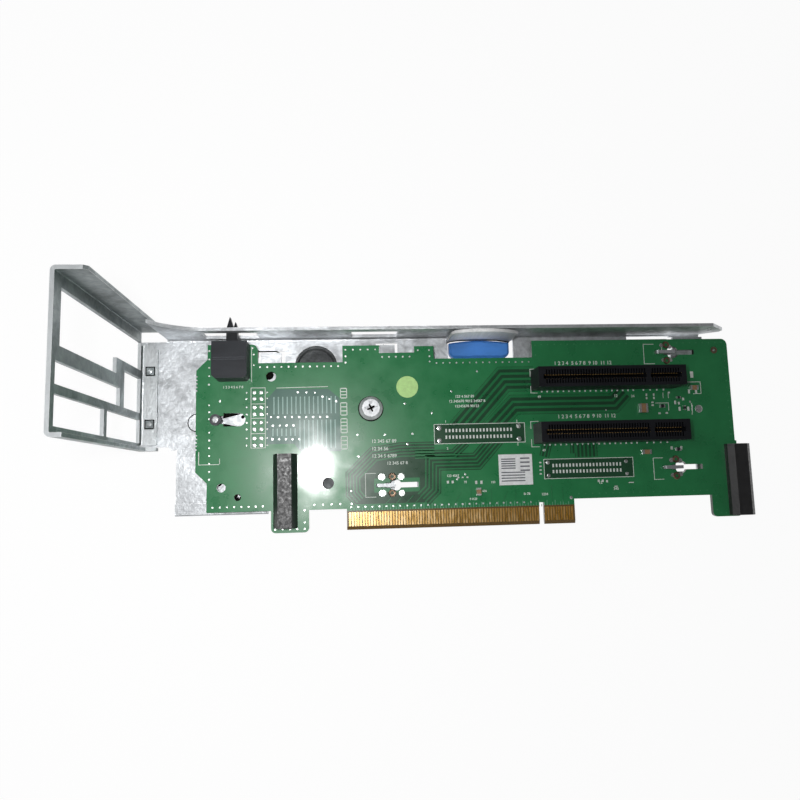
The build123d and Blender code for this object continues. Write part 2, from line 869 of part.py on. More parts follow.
def main():
    parts = {
        "carrier_plate": carrier_plate(),
        "side_frame": side_frame(),
        "frame_rivets": frame_rivets(),
        "circuit_board": circuit_board(),
        "edge_contacts_front": edge_contacts(0, finger_thickness),
        "edge_contacts_back": edge_contacts(board_back - finger_thickness, board_back),
        "upper_slot_housing": slot_housing(upper_slot_y),
        "lower_slot_housing": slot_housing(lower_slot_y),
        "upper_slot_contacts": slot_leaves(upper_slot_y),
        "lower_slot_contacts": slot_leaves(lower_slot_y),
        "left_guide": left_guide(),
        "right_guide": right_guide(),
        "board_standoff": board_standoff(),
        "mounting_screw": mounting_screw(),
        "keyhole_stud": keyhole_stud(),
        "switch_housing": switch_housing(),
        "switch_plunger": switch_plunger(),
        "switch_spring": switch_spring(),
        "switch_contacts": switch_contacts(),
        "touch_pad": touch_pad(),
        "label_sticker": label_sticker(),
        "inspection_dot": inspection_dot(),
        "chip_capacitors": chips(capacitors, capacitor_height),
        "chip_resistors": chips(resistors, resistor_height),
    }
    os.makedirs("parts", exist_ok=True)
    for name, shape in parts.items():
        export_step(shape, f"parts/{name}.step")


main()
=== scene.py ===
import math

import bmesh
import bpy
from mathutils import Euler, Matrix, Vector


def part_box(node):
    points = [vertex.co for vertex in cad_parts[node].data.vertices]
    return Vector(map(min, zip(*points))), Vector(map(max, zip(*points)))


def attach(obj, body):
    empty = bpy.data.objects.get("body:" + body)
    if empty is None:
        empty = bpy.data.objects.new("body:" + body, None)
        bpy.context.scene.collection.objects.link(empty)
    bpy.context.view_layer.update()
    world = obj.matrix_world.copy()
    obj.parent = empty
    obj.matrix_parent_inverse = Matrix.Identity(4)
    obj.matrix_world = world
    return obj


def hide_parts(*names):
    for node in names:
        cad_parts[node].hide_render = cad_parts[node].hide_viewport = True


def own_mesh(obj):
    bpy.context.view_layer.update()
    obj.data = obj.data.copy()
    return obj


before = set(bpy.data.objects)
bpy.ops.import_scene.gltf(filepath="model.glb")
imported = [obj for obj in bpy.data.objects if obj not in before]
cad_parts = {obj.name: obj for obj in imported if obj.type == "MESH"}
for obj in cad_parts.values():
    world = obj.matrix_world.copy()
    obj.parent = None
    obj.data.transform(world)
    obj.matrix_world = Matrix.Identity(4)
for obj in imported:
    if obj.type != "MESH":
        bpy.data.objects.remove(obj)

bl_info = {
    "name": "Riser board",
    "version": (1, 0, 0),
    "blender": (4, 5, 0),
    "location": "3D View > Sidebar > Riser",
    "description": "Builds the surface pieces and finishes of a riser board on its sheet metal carrier",
    "category": "Object",
}

MM = 0.001
BODY = "riser"
PLATE_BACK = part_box("carrier_plate")[0].z
PLATE_THICKNESS = 1.2
# What lies on the board's face starts this far below it
SUNK = -0.005
# What lies on the sheets and on the switch starts this far below their faces
SHEET_SUNK = 0.01

# Camera at the photograph's place: metres, degrees and millimetres
CAMERA_PLACE = (-0.0709294, 0.0158333, 0.2545979)
CAMERA_TURN = (7.1733452, -4.0546053, -1.488941)
CAMERA_LENS = 30.812
# Lamps: place, target and width in metres, and watts
LAMPS = {
    "key": ((-0.0975, 0.0292, 0.255), (-0.29, 0.03, 0), 0.027, 0.47),
    "softbox_left": ((-0.75, 0.35, 0.75), (-0.05, 0.03, 0), 0.6, 1.15),
    "softbox_right": ((0.55, -0.55, 0.9), (-0.02, 0.03, 0), 0.7, 0.2),
}

# The tables below are in millimetres. Rows of vias along the board's edges, as corner points
EDGE_VIAS = [
    [(-122.6, 67.0), (-122.6, 54.4)], [(-122.5, 46.7), (-122.4, 41.6)], [(-122.4, 36.6), (-122.3, 19.5)],
    [(-121.0, 67.9), (-106.8, 67.9)], [(-106.3, 65.5), (-106.3, 61.5)], [(-104.0, 60.7), (-75.0, 60.7)],
    [(-72.2, 66.9), (-61.0, 66.9)], [(-72.2, 64.4), (-72.2, 62.0)], [(-58.4, 64.0), (-48.0, 64.0)],
    [(-44.8, 66.4), (-40.5, 66.4)], [(-40.4, 64.0), (-40.4, 62.0)], [(-37.8, 61.4), (-2.2, 61.4)],
    [(-121.0, 9.4), (-103.0, 9.4)], [(-84.4, 9.4), (-75.0, 9.4)],
    [(-98.6, 0.9), (-88.0, 0.9)], [(-99.0, 3.0), (-99.0, 6.8)], [(-88.0, 3.2), (-88.0, 7.6)],
    [(-70.8, 14.0), (-70.8, 9.4)], [(-71.0, 8.2), (-4.0, 8.2)],
]
# Rows of vias under the solder mask
MASKED_VIAS = [
    [(0.6, 64.0), (0.6, 67.8)], [(3.0, 68.1), (47.0, 68.1)], [(57.0, 68.1), (75.0, 68.1)],
    [(75.8, 66.0), (75.8, 32.0)], [(14.5, 10.8), (64.5, 10.8)], [(67.9, 8.6), (67.9, 3.4)],
    [(69.6, 2.2), (71.4, 2.2)],
]
# Single vias
LOOSE_VIAS = [
    (-32.5, 50.4), (-50.3, 46.1), (-40.2, 42.4), (-47.8, 34.7), (-22.4, 58.0), (-68.2, 34.7), (-58.0, 34.6),
    (-68.0, 26.7), (60.5, 44.9), (-31.5, 17.4), (-28.4, 19.1), (27.0, 42.2), (22.6, 30.0), (-118.6, 48.2),
]
# Header without pins: rows, and its columns of pads, of vias and of pin marks
HEADER_ROWS = (51.2, 48.9, 45.7, 43.1, 40.0, 37.5, 34.2, 31.6)
HEADER_PADS = (-106.1, -103.6)
HEADER_VIAS = -108.9
HEADER_MARKS = -101.4
# Rows of vias in the copper area
ZONE_VIAS = [
    [(-90.1, 51.0), (-83.8, 50.8)], [(-100.0, 41.9), (-79.4, 41.6)], [(-99.3, 38.7), (-91.8, 38.7)],
    [(-99.5, 33.7), (-89.7, 33.5)], [(-81.0, 49.2), (-76.0, 47.4)],
]

# Bundles of traces: first line, number of lines, and the sideways step between them
BUNDLES = [
    ([(-0.6, 59.0), (-14.2, 59.0), (-33.2, 38.2)], 5, 2.1),
    ([(36.8, 47.0), (31.6, 41.8), (-7.4, 41.8), (-15.8, 33.2)], 4, -2.1),
    ([(-11.6, 33.3), (-22.6, 21.3), (-37.9, 21.3), (-38.2, 12.8), (-42.6, 8.6)], 5, -1.3),
    ([(-39.6, 31.0), (-52.6, 31.0), (-63.4, 29.4), (-72.3, 20.6), (-72.3, 12.4), (-69.4, 9.0)], 5, 1.15),
    ([(-28.4, 32.0), (-32.9, 27.9), (-47.0, 27.9)], 3, 1.15),
    ([(14.0, 29.6), (14.0, 26.0)], 2, -1.3),
    ([(4.6, 29.4), (3.2, 24.6)], 3, -1.3),
    ([(22.0, 29.4), (22.0, 24.6)], 6, -1.5),
]
# Single traces above the card edge
LOW_TRACES = [
    [(-56.4, 11.0), (-58.8, 8.6)], [(-52.7, 10.9), (-54.9, 8.6)], [(-48.0, 11.9), (-51.0, 8.8)],
    [(-45.0, 11.6), (-47.8, 8.6)], [(-30.0, 12.4), (-32.6, 8.8)], [(-26.4, 13.6), (-26.4, 8.8)],
    [(-22.8, 14.6), (-22.8, 8.8)], [(-18.8, 13.6), (-18.8, 8.8)], [(-12.6, 12.6), (-14.4, 8.8)],
    [(-9.6, 13.0), (-9.6, 8.8)], [(-5.6, 13.0), (-5.6, 8.8)], [(4.2, 14.4), (4.2, 8.0)],
    [(8.4, 13.0), (8.4, 8.0)],
]
# Dark area round the lower left hook, in two halves that leave its slot free
HOOK_GROUNDS = [
    [(-69.6, 16.0), (-62.4, 16.0), (-62.4, 18.4), (-45.5, 18.4), (-45.5, 16.0), (-40.6, 16.0), (-40.6, 23.6),
     (-45.0, 27.6), (-62.6, 27.6), (-69.6, 20.4)],
    [(-69.6, 16.0), (-69.6, 9.2), (-44.0, 9.2), (-40.6, 12.6), (-40.6, 16.0), (-45.5, 16.0), (-45.5, 13.3),
     (-62.4, 13.3), (-62.4, 16.0)],
]
# Copper area with thin stripes: outline, then place, top and bottom of each stripe
COPPER_ZONE = [
    (-101.7, 48.4), (-98.2, 52.3), (-78.8, 52.1), (-74.7, 48.6), (-74.4, 28.8), (-89.2, 28.8), (-91.6, 31.9),
    (-101.7, 31.9),
]
STRIPE_STEP = 1.62
ZONE_STRIPES = [(-98.9 + STRIPE_STEP * i, 49.4, 42.9) for i in range(15)]
ZONE_STRIPES += [(-99.3 + STRIPE_STEP * i, 37.6, 34.8) for i in range(6)]
ZONE_STRIPES += [(-89.4 + STRIPE_STEP * i, 40.6, 30.0) for i in range(9)]

# Silkscreen lines
OUTLINES = [
    [(-107.3, 52.9), (-102.1, 52.9), (-102.1, 30.6), (-107.3, 30.6), (-107.3, 52.9)],
    [(-107.3, 46.9), (-102.1, 46.9)], [(-107.3, 41.6), (-102.1, 41.6)], [(-107.3, 35.9), (-102.1, 35.9)],
    [(-39.5, 38.0), (-5.05, 38.0), (-5.05, 30.7), (-39.5, 30.7), (-39.5, 38.0)],
    [(1.7, 24.0), (36.2, 24.0), (36.2, 16.7), (1.7, 16.7), (1.7, 24.0)],
    [(-7.9, 38.0), (-7.9, 39.2)], [(-7.9, 30.7), (-7.9, 29.4)],
    [(0.6, 58.5), (-1.9, 58.5), (-1.9, 55.6)], [(0.6, 49.3), (-1.9, 49.3), (-1.9, 52.0)],
    [(0.4, 38.4), (-2.6, 38.4), (-2.6, 35.6)], [(0.4, 28.8), (-2.6, 28.8), (-2.6, 31.6)],
    [(-61.7, 20.3), (-65.6, 20.3), (-65.6, 11.6), (-61.7, 11.6)],
    [(47.6, 67.7), (43.4, 67.7), (43.4, 60.0), (47.6, 60.0)],
    [(48.0, 23.5), (44.2, 23.5), (44.2, 15.4), (48.0, 15.4)],
    [(-107.1, 68.4), (-107.1, 55.2)], [(50.89, 67.75), (50.71, 65.37)],
    [(-126.1, 29.6), (-126.1, 24.9), (-118.8, 24.9)], [(61.3, 43.6), (61.0, 39.9)],
    [(-98.0, 52.75), (-78.9, 53.0)], [(-118.6, 27.0), (-118.6, 25.0)],
    [(49.9, 48.6), (49.9, 46.4)], [(52.0, 48.6), (52.0, 46.4)],
    [(57.6, 52.6), (65.2, 52.6), (65.2, 48.0), (62.0, 48.0)],
    [(46.6, 44.6), (51.8, 44.6), (51.8, 41.6)], [(61.0, 44.4), (61.0, 41.4)],
]
# Column of small boxes: left side, top and bottom
SILK_COLUMN = [(-74.3, 52.2, 48.6), (-74.3, 46.8, 42.2), (-74.3, 40.8, 35.6), (-74.3, 34.2, 29.6)]
# Plain numbers: text, place of its left end and size
DIGITS = [
    ("1 2 3 4  5 6 7 8  9 10  11 12", 7.6, 60.0, 1.6), ("1 2 3 4  5 6 7 8  9 10  11 12", 7.9, 39.4, 1.6),
    ("12 345 67 89", -63.1, 31.6, 1.4), ("12 34 56", -63.1, 28.8, 1.4), ("12 34 5 6789", -63.1, 26.1, 1.4),
    ("12 345 67 8", -57.6, 23.4, 1.3), ("123 4 567 89", -31.2, 48.0, 1.1),
    ("12 345678 9012 34567 8", -33.6, 46.2, 1.1), ("12345678 90123", -31.4, 44.3, 1.1),
    ("1 2 3 4 5 6 7 8", -117.6, 52.9, 1.0), ("1", -35.4, 38.6, 1.0),
    ("2", -35.0, 28.5, 1.0), ("49", 0.6, 47.4, 1.0), ("49", 1.4, 27.0, 1.0), ("123 4567", -35.4, 18.3, 1.0),
    ("12", 30.4, 47.2, 1.2), ("34", 37.2, 47.0, 1.1), ("12", 22.4, 14.4, 1.1), ("345", 28.0, 11.9, 1.1),
    ("1234", 0.2, 10.6, 1.0), ("5678", -6.6, 10.9, 1.0), ("90123", -27.0, 9.6, 0.9), ("456", -22.2, 12.4, 0.9),
    ("78", -29.0, 15.9, 0.9), ("123", -18.8, 15.6, 0.9),
]

# Pads beside the hooks: middle, width and length
HOOK_PADS = [
    (-59.6, 18.9, 2.5, 2.3), (-52.4, 18.9, 2.4, 2.4), (-59.4, 13.0, 2.6, 2.3), (-52.2, 12.85, 2.2, 2.2),
    (50.6, 67.2, 1.5, 1.5), (53.9, 66.6, 1.6, 1.6), (51.0, 61.4, 1.4, 1.4), (54.0, 61.4, 1.5, 1.4),
    (51.4, 22.6, 1.9, 1.7), (54.7, 22.3, 1.8, 1.8), (51.5, 16.9, 1.6, 1.5), (54.7, 17.2, 1.7, 1.6),
]
HOOK_RINGS = [(-55.7, 19.0), (-55.8, 12.9), (52.5, 67.4), (52.4, 61.2), (53.1, 22.9), (53.0, 16.6)]
CORNER_RING = (71.8, 65.1)
# Dots of solder: middle and radius
SOLDER_DOTS = [(-49.6, 30.9, 0.5), (58.2, 42.5, 0.5), (11.5, 9.5, 0.6), (71.8, 65.1, 0.5), (63.8, 42.1, 1.5)]
# Short traces above the fingers
FINGER_TAILS = 80
FINGER_STEP = 1.03
FIRST_TAIL = -71.0
# Two empty connector places: ground's middle, width and length, solder dots, and rows of fine pads
FOOTPRINTS = [(-22.3, 34.35, 34.2, 7.1), (18.95, 20.35, 34.2, 7.1)]
FOOTPRINT_DOTS = [
    (-37.6, 36.6, 1.0), (-37.6, 31.9, 0.95), (-7.3, 36.8, 0.95), (-7.3, 32.0, 0.95),
    (3.2, 22.8, 0.85), (3.3, 17.9, 0.8), (33.5, 22.6, 0.75), (33.6, 17.9, 0.7),
]
FOOTPRINT_ROWS = [
    (-35.0, -10.3, 35.6, 1.27), (-35.0, -10.3, 33.1, 1.27), (5.2, 31.2, 21.6, 1.27), (5.2, 31.2, 19.3, 1.27),
]
# Pressed joints of the side frame's foot
JOINT_X = -144.6
JOINT_ROWS = (60.1, 40.3)
# Plate behind the board: lines of painted shadow, holes painted dark as shade with their radius, middles of
# discs, plug, stud and screws, and the ends of the dark wedges of painted shadow beside the stud
PAINTED_SHADOW_LINES = [
    [(-132.6, 9.9), (-126.0, 9.6)],
    [(-105.2, 67.4), (-98.4, 67.4), (-97.0, 66.6), (-96.8, 64.6)], [(-105.2, 67.6), (-105.2, 65.0)],
    [(-60.6, 68.6), (-57.4, 69.4)],
]
HOLE_SHADES = [(-101.2, 58.3, 1.8), (-112.4, 13.2, 1.9), (-119.6, 18.2, 1.2), (-110.9, 42.6, 0.7)]
LARGE_DISH = (-83.4, 61.3)
SMALL_DISH = (-79.3, 17.1)
PLUG = (-127.75, 40.7)
STUD = (-120.1, 41.2)
SCREW = (-63.1, 44.4)
TOOL_SCREW = (-112.3, 13.1)
STUD_SHADOW = (-118.2, -110.6)
# Satin strip over the touch pad: its top, and its sides seen from above
BOW_TOP = 11.0
PAD_BOW_OUTER = [
    (-33.3, 70.9), (-32.1, 71.4), (-29.4, 71.8), (-24.0, 72.1), (-18.0, 72.1), (-13.4, 71.8), (-10.0, 71.4),
    (-8.4, 70.7),
]
PAD_BOW_INNER = [
    (-8.7, 69.9), (-10.8, 70.3), (-13.8, 70.7), (-18.0, 70.9), (-24.0, 70.9), (-29.0, 70.7), (-31.6, 70.4),
    (-33.1, 69.9),
]
# Fine ribs on the switch, painted lighter as a highlight
SWITCH_RIBS = [[(-119.6, 62.9), (-108.3, 62.9)], [(-119.6, 62.2), (-108.3, 62.2)]]
# Solder of small parts: middle, width and length
SMALL_JOINTS = [
    (43.3, 47.9, 0.6, 0.9), (43.3, 46.6, 0.6, 0.9), (46.2, 47.9, 0.6, 0.9), (46.2, 46.6, 0.6, 0.9),
    (45.5, 44.9, 0.9, 0.6), (45.5, 43.8, 0.9, 0.6), (48.0, 40.6, 0.9, 0.7), (50.9, 40.7, 0.9, 0.7),
    (54.5, 44.7, 0.7, 1.4), (56.0, 44.4, 0.7, 1.0), (52.3, 48.6, 0.8, 0.6), (57.8, 46.0, 0.8, 1.0),
    (59.6, 42.2, 0.8, 1.6), (56.1, 42.2, 0.8, 1.6), (60.4, 48.9, 0.8, 1.6), (63.2, 48.9, 0.8, 1.6),
    (-35.0, 16.4, 0.8, 1.0), (-33.2, 16.4, 0.8, 1.0), (-24.4, 16.0, 0.8, 1.2), (-22.4, 16.0, 0.8, 1.2),
    (-31.0, 18.0, 0.7, 0.5), (-29.4, 18.0, 0.7, 0.5), (-27.6, 18.0, 0.7, 0.5), (22.4, 15.4, 0.7, 0.9),
    (24.0, 15.4, 0.7, 0.9), (25.6, 15.2, 0.7, 0.9), (51.8, 27.2, 0.8, 1.2), (55.6, 27.2, 0.8, 1.2),
    (0.3, 22.8, 0.8, 0.5), (0.3, 21.4, 0.8, 0.5), (0.3, 20.0, 0.8, 0.5), (0.3, 18.6, 0.8, 0.5),
    (47.3, 56.0, 0.5, 1.6), (62.0, 55.5, 1.2, 2.4), (35.0, 14.5, 2.0, 0.4), (29.0, 13.2, 1.2, 0.4),
]
# Chips with ends to the left and right, and with ends above and below: middle, length, width and height
WIDE_CHIPS = [
    (41.5, 42.7, 3.0, 3.4, 1.2), (41.6, 25.9, 3.2, 1.6, 1.2), (62.2, 50.3, 3.0, 1.7, 1.2),
    (49.2, 43.4, 2.0, 1.25, 0.5), (55.9, 46.6, 1.6, 0.8, 0.5), (54.3, 26.7, 2.0, 1.25, 0.5),
]
TALL_CHIPS = [(-23.6, 12.6, 1.6, 2.6, 1.2), (58.1, 42.6, 0.8, 1.6, 0.5)]
# Card slots, and the rows of solder tails below them: distance from the slot's middle, ends from the key
SLOT_KEY_X = 39.77
SLOT_ROWS = (53.9, 33.58)
TAIL_DROP = 4.15
TAIL_ROWS = ((-1.5, -37.5), (2.5, 10.5))
# Rules on the label: middle of the first, their number and step, length and width
LABEL_RULES = [
    (-11.9, 24.4, 5, 0.85, 5.4, 0.42), (-5.6, 24.6, 4, 1.5, 3.6, 0.5), (-10.2, 19.4, 4, 1.05, 9.0, 0.4),
]


def colour(text):
    """Linear colour of a hexadecimal one."""
    channels = [int(text[i:i + 2], 16) / 255 for i in (0, 2, 4)]
    return [c / 12.92 if c <= 0.04045 else ((c + 0.055) / 1.055) ** 2.4 for c in channels]


def scaled(tone, *factors):
    """A colour with all its channels times one factor, or each times its own."""
    if len(factors) == 1:
        factors *= 3
    return [min(1.0, channel * factor) for channel, factor in zip(tone, factors)]


def colour_property(name, text, description):
    return bpy.props.FloatVectorProperty(
        name=name, description=description, subtype="COLOR", size=3, min=0, max=1, default=colour(text)
    )


def length_property(name, millimetres, description):
    return bpy.props.FloatProperty(
        name=name, description=description, subtype="DISTANCE", unit="LENGTH", min=0, precision=5,
        default=millimetres * MM,
    )


class RiserSizes(bpy.types.PropertyGroup):
    via_radius: length_property("Via radius", 0.36, "Radius of a stitching via's ring")
    via_spacing: length_property("Via spacing", 2.54, "Distance between the stitching vias of a row")
    via_height: length_property("Via height", 0.04, "How far a via's ring stands on the board")
    silk_width: length_property("Silk width", 0.22, "Width of a silkscreen line")
    silk_height: length_property("Silk height", 0.05, "Thickness of the silkscreen ink")
    trace_width: length_property("Trace width", 0.3, "Width of a trace under the solder mask")
    trace_height: length_property("Trace height", 0.035, "How far a trace lifts the solder mask")
    pad_height: length_property("Pad height", 0.06, "Height of the solder on a pad")


class RiserColours(bpy.types.PropertyGroup):
    mask: colour_property("Solder mask", "1f7c47", "Solder mask over copper")
    bare_mask: colour_property("Mask without copper", "134629", "Solder mask over bare laminate")
    laminate: colour_property("Laminate", "6b5228", "Glass fibre laminate at the board's edges")
    silk: colour_property("Silkscreen", "dfe8df", "Silkscreen ink")
    gold: colour_property("Gold", "b8975f", "Plated card edge fingers")
    tin: colour_property("Tin", "dfe2e0", "Solder and tinned copper")
    zinc: colour_property("Zinc", "cfd2d5", "Zinc plating of the carrier")
    # Darker copy of the carrier's zinc: painted shade for the side frame's upright walls
    frame_zinc_shaded: colour_property("Frame zinc", "8d9495", "Duller zinc plating of the side frame")
    moulding: colour_property("Moulding", "15161a", "Black plastic of the slots and guides")
    switch: colour_property("Switch moulding", "303236", "Dark plastic of the cover switch")
    pad: colour_property("Pad", "4684d2", "Blue plastic of the touch pad")
    dot: colour_property("Dot", "c2ec9a", "Paper of the round sticker")
    label: colour_property("Label", "eceeee", "Paper of the label")


def fill(tree, node, inputs):
    """Link or set inputs of a node, by name or number."""
    for name, value in inputs.items():
        if hasattr(value, "links"):
            tree.links.new(value, node.inputs[name])
        else:
            node.inputs[name].default_value = value
    return node


def add(tree, kind, inputs=None, **settings):
    """A new node with its settings and inputs."""
    node = tree.nodes.new(kind)
    for name, value in settings.items():
        setattr(node, name, value)
    return fill(tree, node, inputs or {})


def linked_object(name, data):
    """A new object in the scene, at the origin."""
    thing = bpy.data.objects.new(name, data)
    bpy.context.scene.collection.objects.link(thing)
    return thing


class Finish:
    """One node material, built from the pieces' own coordinates."""

    def __init__(self, name, metallic=0.0, specular=0.5, coat=0.0, coat_roughness=0.1):
        self.material = bpy.data.materials.new(name)
        self.material.use_nodes = True
        self.tree = self.material.node_tree
        self.shader = fill(self.tree, self.tree.nodes["Principled BSDF"], {
            "Metallic": metallic, "Specular IOR Level": specular,
            "Coat Weight": coat, "Coat Roughness": coat_roughness,
        })
        self.place = self.add("ShaderNodeTexCoord").outputs["Object"]

    def add(self, kind, inputs=None, **settings):
        return add(self.tree, kind, inputs, **settings)

    def noise(self, size, detail=3.0, roughness=0.55, stretch=None, distortion=0.0):
        """Noise whose spots are about size millimetres wide."""
        place = self.place
        if stretch:
            place = self.add("ShaderNodeMapping", {"Vector": place, "Scale": stretch}).outputs["Vector"]
        return self.add("ShaderNodeTexNoise", {
            "Vector": place, "Scale": 1 / (size * MM), "Detail": detail, "Roughness": roughness,
            "Distortion": distortion,
        }).outputs["Fac"]

    def spread(self, source, low=0.3, high=0.7, bottom=0.0, top=1.0):
        """Stretch a value from one range to another, kept inside it."""
        return self.add("ShaderNodeMapRange", {
            "Value": source, "From Min": low, "From Max": high, "To Min": bottom, "To Max": top,
        }).outputs["Result"]

    def math(self, operation, a, b=0.0):
        return self.add("ShaderNodeMath", {0: a, 1: b}, operation=operation).outputs[0]

    def times(self, a, b):
        return self.math("MULTIPLY", a, b)

    def blend(self, amount, a, b):
        a, b = (value if hasattr(value, "links") else (*value, 1.0) for value in (a, b))
        mix = self.add("ShaderNodeMix", {"Factor": amount, "A": a, "B": b}, data_type="RGBA")
        return mix.outputs["Result"]

    def mottled(self, source, tone, darker, lighter):
        """A colour that wanders between two shades of itself."""
        return self.blend(self.spread(source), scaled(tone, darker), scaled(tone, lighter))

    def part(self, vector, name):
        return self.add("ShaderNodeSeparateXYZ", {"Vector": vector}).outputs[name]

    def axis(self, name):
        return self.part(self.place, name)

    def facing(self, name):
        """How far the surface faces along an axis of the object."""
        return self.part(self.add("ShaderNodeNewGeometry").outputs["Normal"], name)

    def within(self, name, low, high):
        """One between two places along an axis, in millimetres."""
        value = self.axis(name)
        return self.times(self.math("GREATER_THAN", value, low * MM), self.math("LESS_THAN", value, high * MM))

    def edge_mask_for_highlights(self, radius):
        """One on sharp edges, fading over radius millimetres: where highlights are painted on edges."""
        bevel = self.add("ShaderNodeBevel", {"Radius": radius * MM}, samples=4).outputs["Normal"]
        normal = self.add("ShaderNodeNewGeometry").outputs["Normal"]
        product = self.add("ShaderNodeVectorMath", {0: bevel, 1: normal}, operation="DOT_PRODUCT")
        return self.spread(product.outputs["Value"], 1.0, 0.75)

    def bump(self, height, depth, strength=1.0):
        bump = self.add("ShaderNodeBump", {"Strength": strength, "Distance": depth * MM, "Height": height})
        fill(self.tree, self.shader, {"Normal": bump.outputs["Normal"]})

    def paint(self, base, roughness):
        fill(self.tree, self.shader, {"Base Color": base, "Roughness": roughness})
        return self.material


def zinc_finish(name, tone, low, high, top_highlight=0.0, low_shade=0.0):
    """Rolled zinc plate: clouds, rolling lines and dull spots, a painted highlight where it faces up, painted
    highlights on its edges and painted shade low down.
    """
    finish = Finish(name, metallic=1.0)
    clouds = finish.noise(16, 5, 0.62, distortion=0.6)
    spangle = finish.noise(3.2, 3, 0.5, distortion=1.2)
    rolling = finish.noise(0.6, 2, 0.5, stretch=(0.06, 1.0, 1.0))
    patches = finish.math("ADD", finish.times(clouds, 0.72), finish.times(spangle, 0.28))
    dark = scaled(tone, 0.62)
    base = finish.blend(finish.spread(patches, 0.36, 0.66), dark, scaled(tone, 1.32))
    # Painted highlight: faces that point up are made lighter
    upward = finish.math("GREATER_THAN", finish.facing("Z"), 0.9)
    base = finish.blend(finish.times(upward, top_highlight), base, [0.86, 0.88, 0.9])
    # Painted shade: darker towards the bottom of the plate
    base = finish.blend(finish.times(finish.spread(finish.axis("Y"), 36 * MM, 20 * MM), low_shade), base, dark)
    spots = finish.spread(finish.noise(1.1, 4, 0.7), 0.66, 0.76)
    base = finish.blend(finish.times(spots, 0.35), base, scaled(tone, 0.5))
    # Painted highlights along the sharp edges
    base = finish.blend(finish.times(finish.edge_mask_for_highlights(0.25), 0.6), base, [0.93, 0.94, 0.95])
    dents = finish.spread(finish.noise(1.5, 3, 0.6), 0.35, 0.65)
    finish.bump(finish.math("ADD", rolling, dents), 0.05, 0.8)
    return finish.paint(base, finish.spread(patches, 0.3, 0.7, high, low))


def mask_finish(name, tone, laminate, gloss=0.5):
    """Glossy solder mask with a faint weave below it, bare laminate at the card edge, and side walls with
    painted shade: near black, and darker laminate where they face +X.
    """
    finish = Finish(name, specular=0.5, coat=gloss, coat_roughness=0.09)
    mottle = finish.noise(9, 4, 0.6)
    weave = finish.noise(0.45, 2, 0.5)
    base = finish.mottled(mottle, tone, 0.9, 1.08)
    base = finish.blend(finish.times(finish.spread(weave, 0.4, 0.7), 0.18), base, scaled(tone, 0.7))
    grain = finish.spread(finish.noise(0.3, 3, 0.6, stretch=(1, 1, 4)), 0.35, 0.65)
    bare = finish.blend(grain, scaled(laminate, 0.6), scaled(laminate, 1.15))
    lacquered = finish.math("GREATER_THAN", finish.math("ABSOLUTE", finish.facing("Z")), 0.96)
    below = finish.math("LESS_THAN", finish.axis("Y"), 6.9 * MM)
    tongue = finish.times(finish.within("X", -74.5, 13.5), below)
    green = finish.times(lacquered, finish.math("SUBTRACT", 1.0, tongue))
    # Side walls away from the card edge get painted shade: near black, and a darker laminate on those that face
    # +X
    right = finish.math("GREATER_THAN", finish.facing("X"), 0.7)
    shade = finish.blend(right, [0.006, 0.009, 0.004], scaled(laminate, 0.8))
    base = finish.blend(green, finish.blend(tongue, shade, bare), base)
    finish.bump(weave, 0.01, 0.5)
    return finish.paint(base, finish.spread(mottle, 0.3, 0.7, 0.24, 0.4))


def moulding_finish(name, tone, low, high, grain=0.25, specular=0.2):
    """Moulded plastic: fine spark texture, faint flow marks and paler edges, a painted highlight."""
    finish = Finish(name, specular=specular)
    spark = finish.noise(grain, 3, 0.6)
    base = finish.mottled(finish.noise(5, 3, 0.5, stretch=(0.3, 1, 1)), tone, 0.8, 1.3)
    highlight_tone = [min(1.0, c * 2.2 + 0.02) for c in tone]
    # Painted highlight: edges blend towards a paler copy of the plastic
    base = finish.blend(finish.times(finish.edge_mask_for_highlights(0.18), 0.35), base, highlight_tone)
    finish.bump(spark, 0.02, 0.7)
    return finish.paint(base, finish.spread(spark, 0.3, 0.7, low, high))


def plated_finish(name, tone, low, high, grain=0.5):
    """Plated metal: small clouds, tarnish and a soft sheen."""
    finish = Finish(name, metallic=1.0)
    base = finish.mottled(finish.noise(grain * 6, 4, 0.6), tone, 0.74, 1.2)
    fine = finish.noise(grain, 3, 0.6)
    finish.bump(fine, 0.01, 0.6)
    return finish.paint(base, finish.spread(fine, 0.3, 0.7, low, high))


def printed_finish(name, tone, low=0.5, high=0.7, specular=0.35):
    """Ink, paper or ceramic: slight mottle and grain."""
    finish = Finish(name, specular=specular)
    base = finish.mottled(finish.noise(1.6, 4, 0.6), tone, 0.86, 1.06)
    fibre = finish.noise(0.25, 3, 0.7)
    finish.bump(fibre, 0.012, 0.6)
    return finish.paint(base, finish.spread(fibre, 0.3, 0.7, low, high))


def bow_finish(name):
    """Satin strip over the touch pad: a painted highlight left of its middle and painted shade towards both
    ends.
    """
    finish = Finish(name, specular=0.6)
    # Painted highlight left of the middle and painted shade towards both ends, standing in for the light on a
    # curved strip
    rise = finish.spread(finish.axis("X"), -35 * MM, -29 * MM)
    fall = finish.spread(finish.axis("X"), -10 * MM, -21 * MM)
    grain = finish.noise(1.2, 3, 0.6, stretch=(1, 1, 0.1))
    bow_highlight = finish.times(finish.times(rise, fall), finish.spread(grain, 0.2, 0.6, 0.7, 1.0))
    finish.bump(grain, 0.02, 0.6)
    return finish.paint(finish.blend(bow_highlight, colour("929495"), colour("fbfcfc")), 0.58)


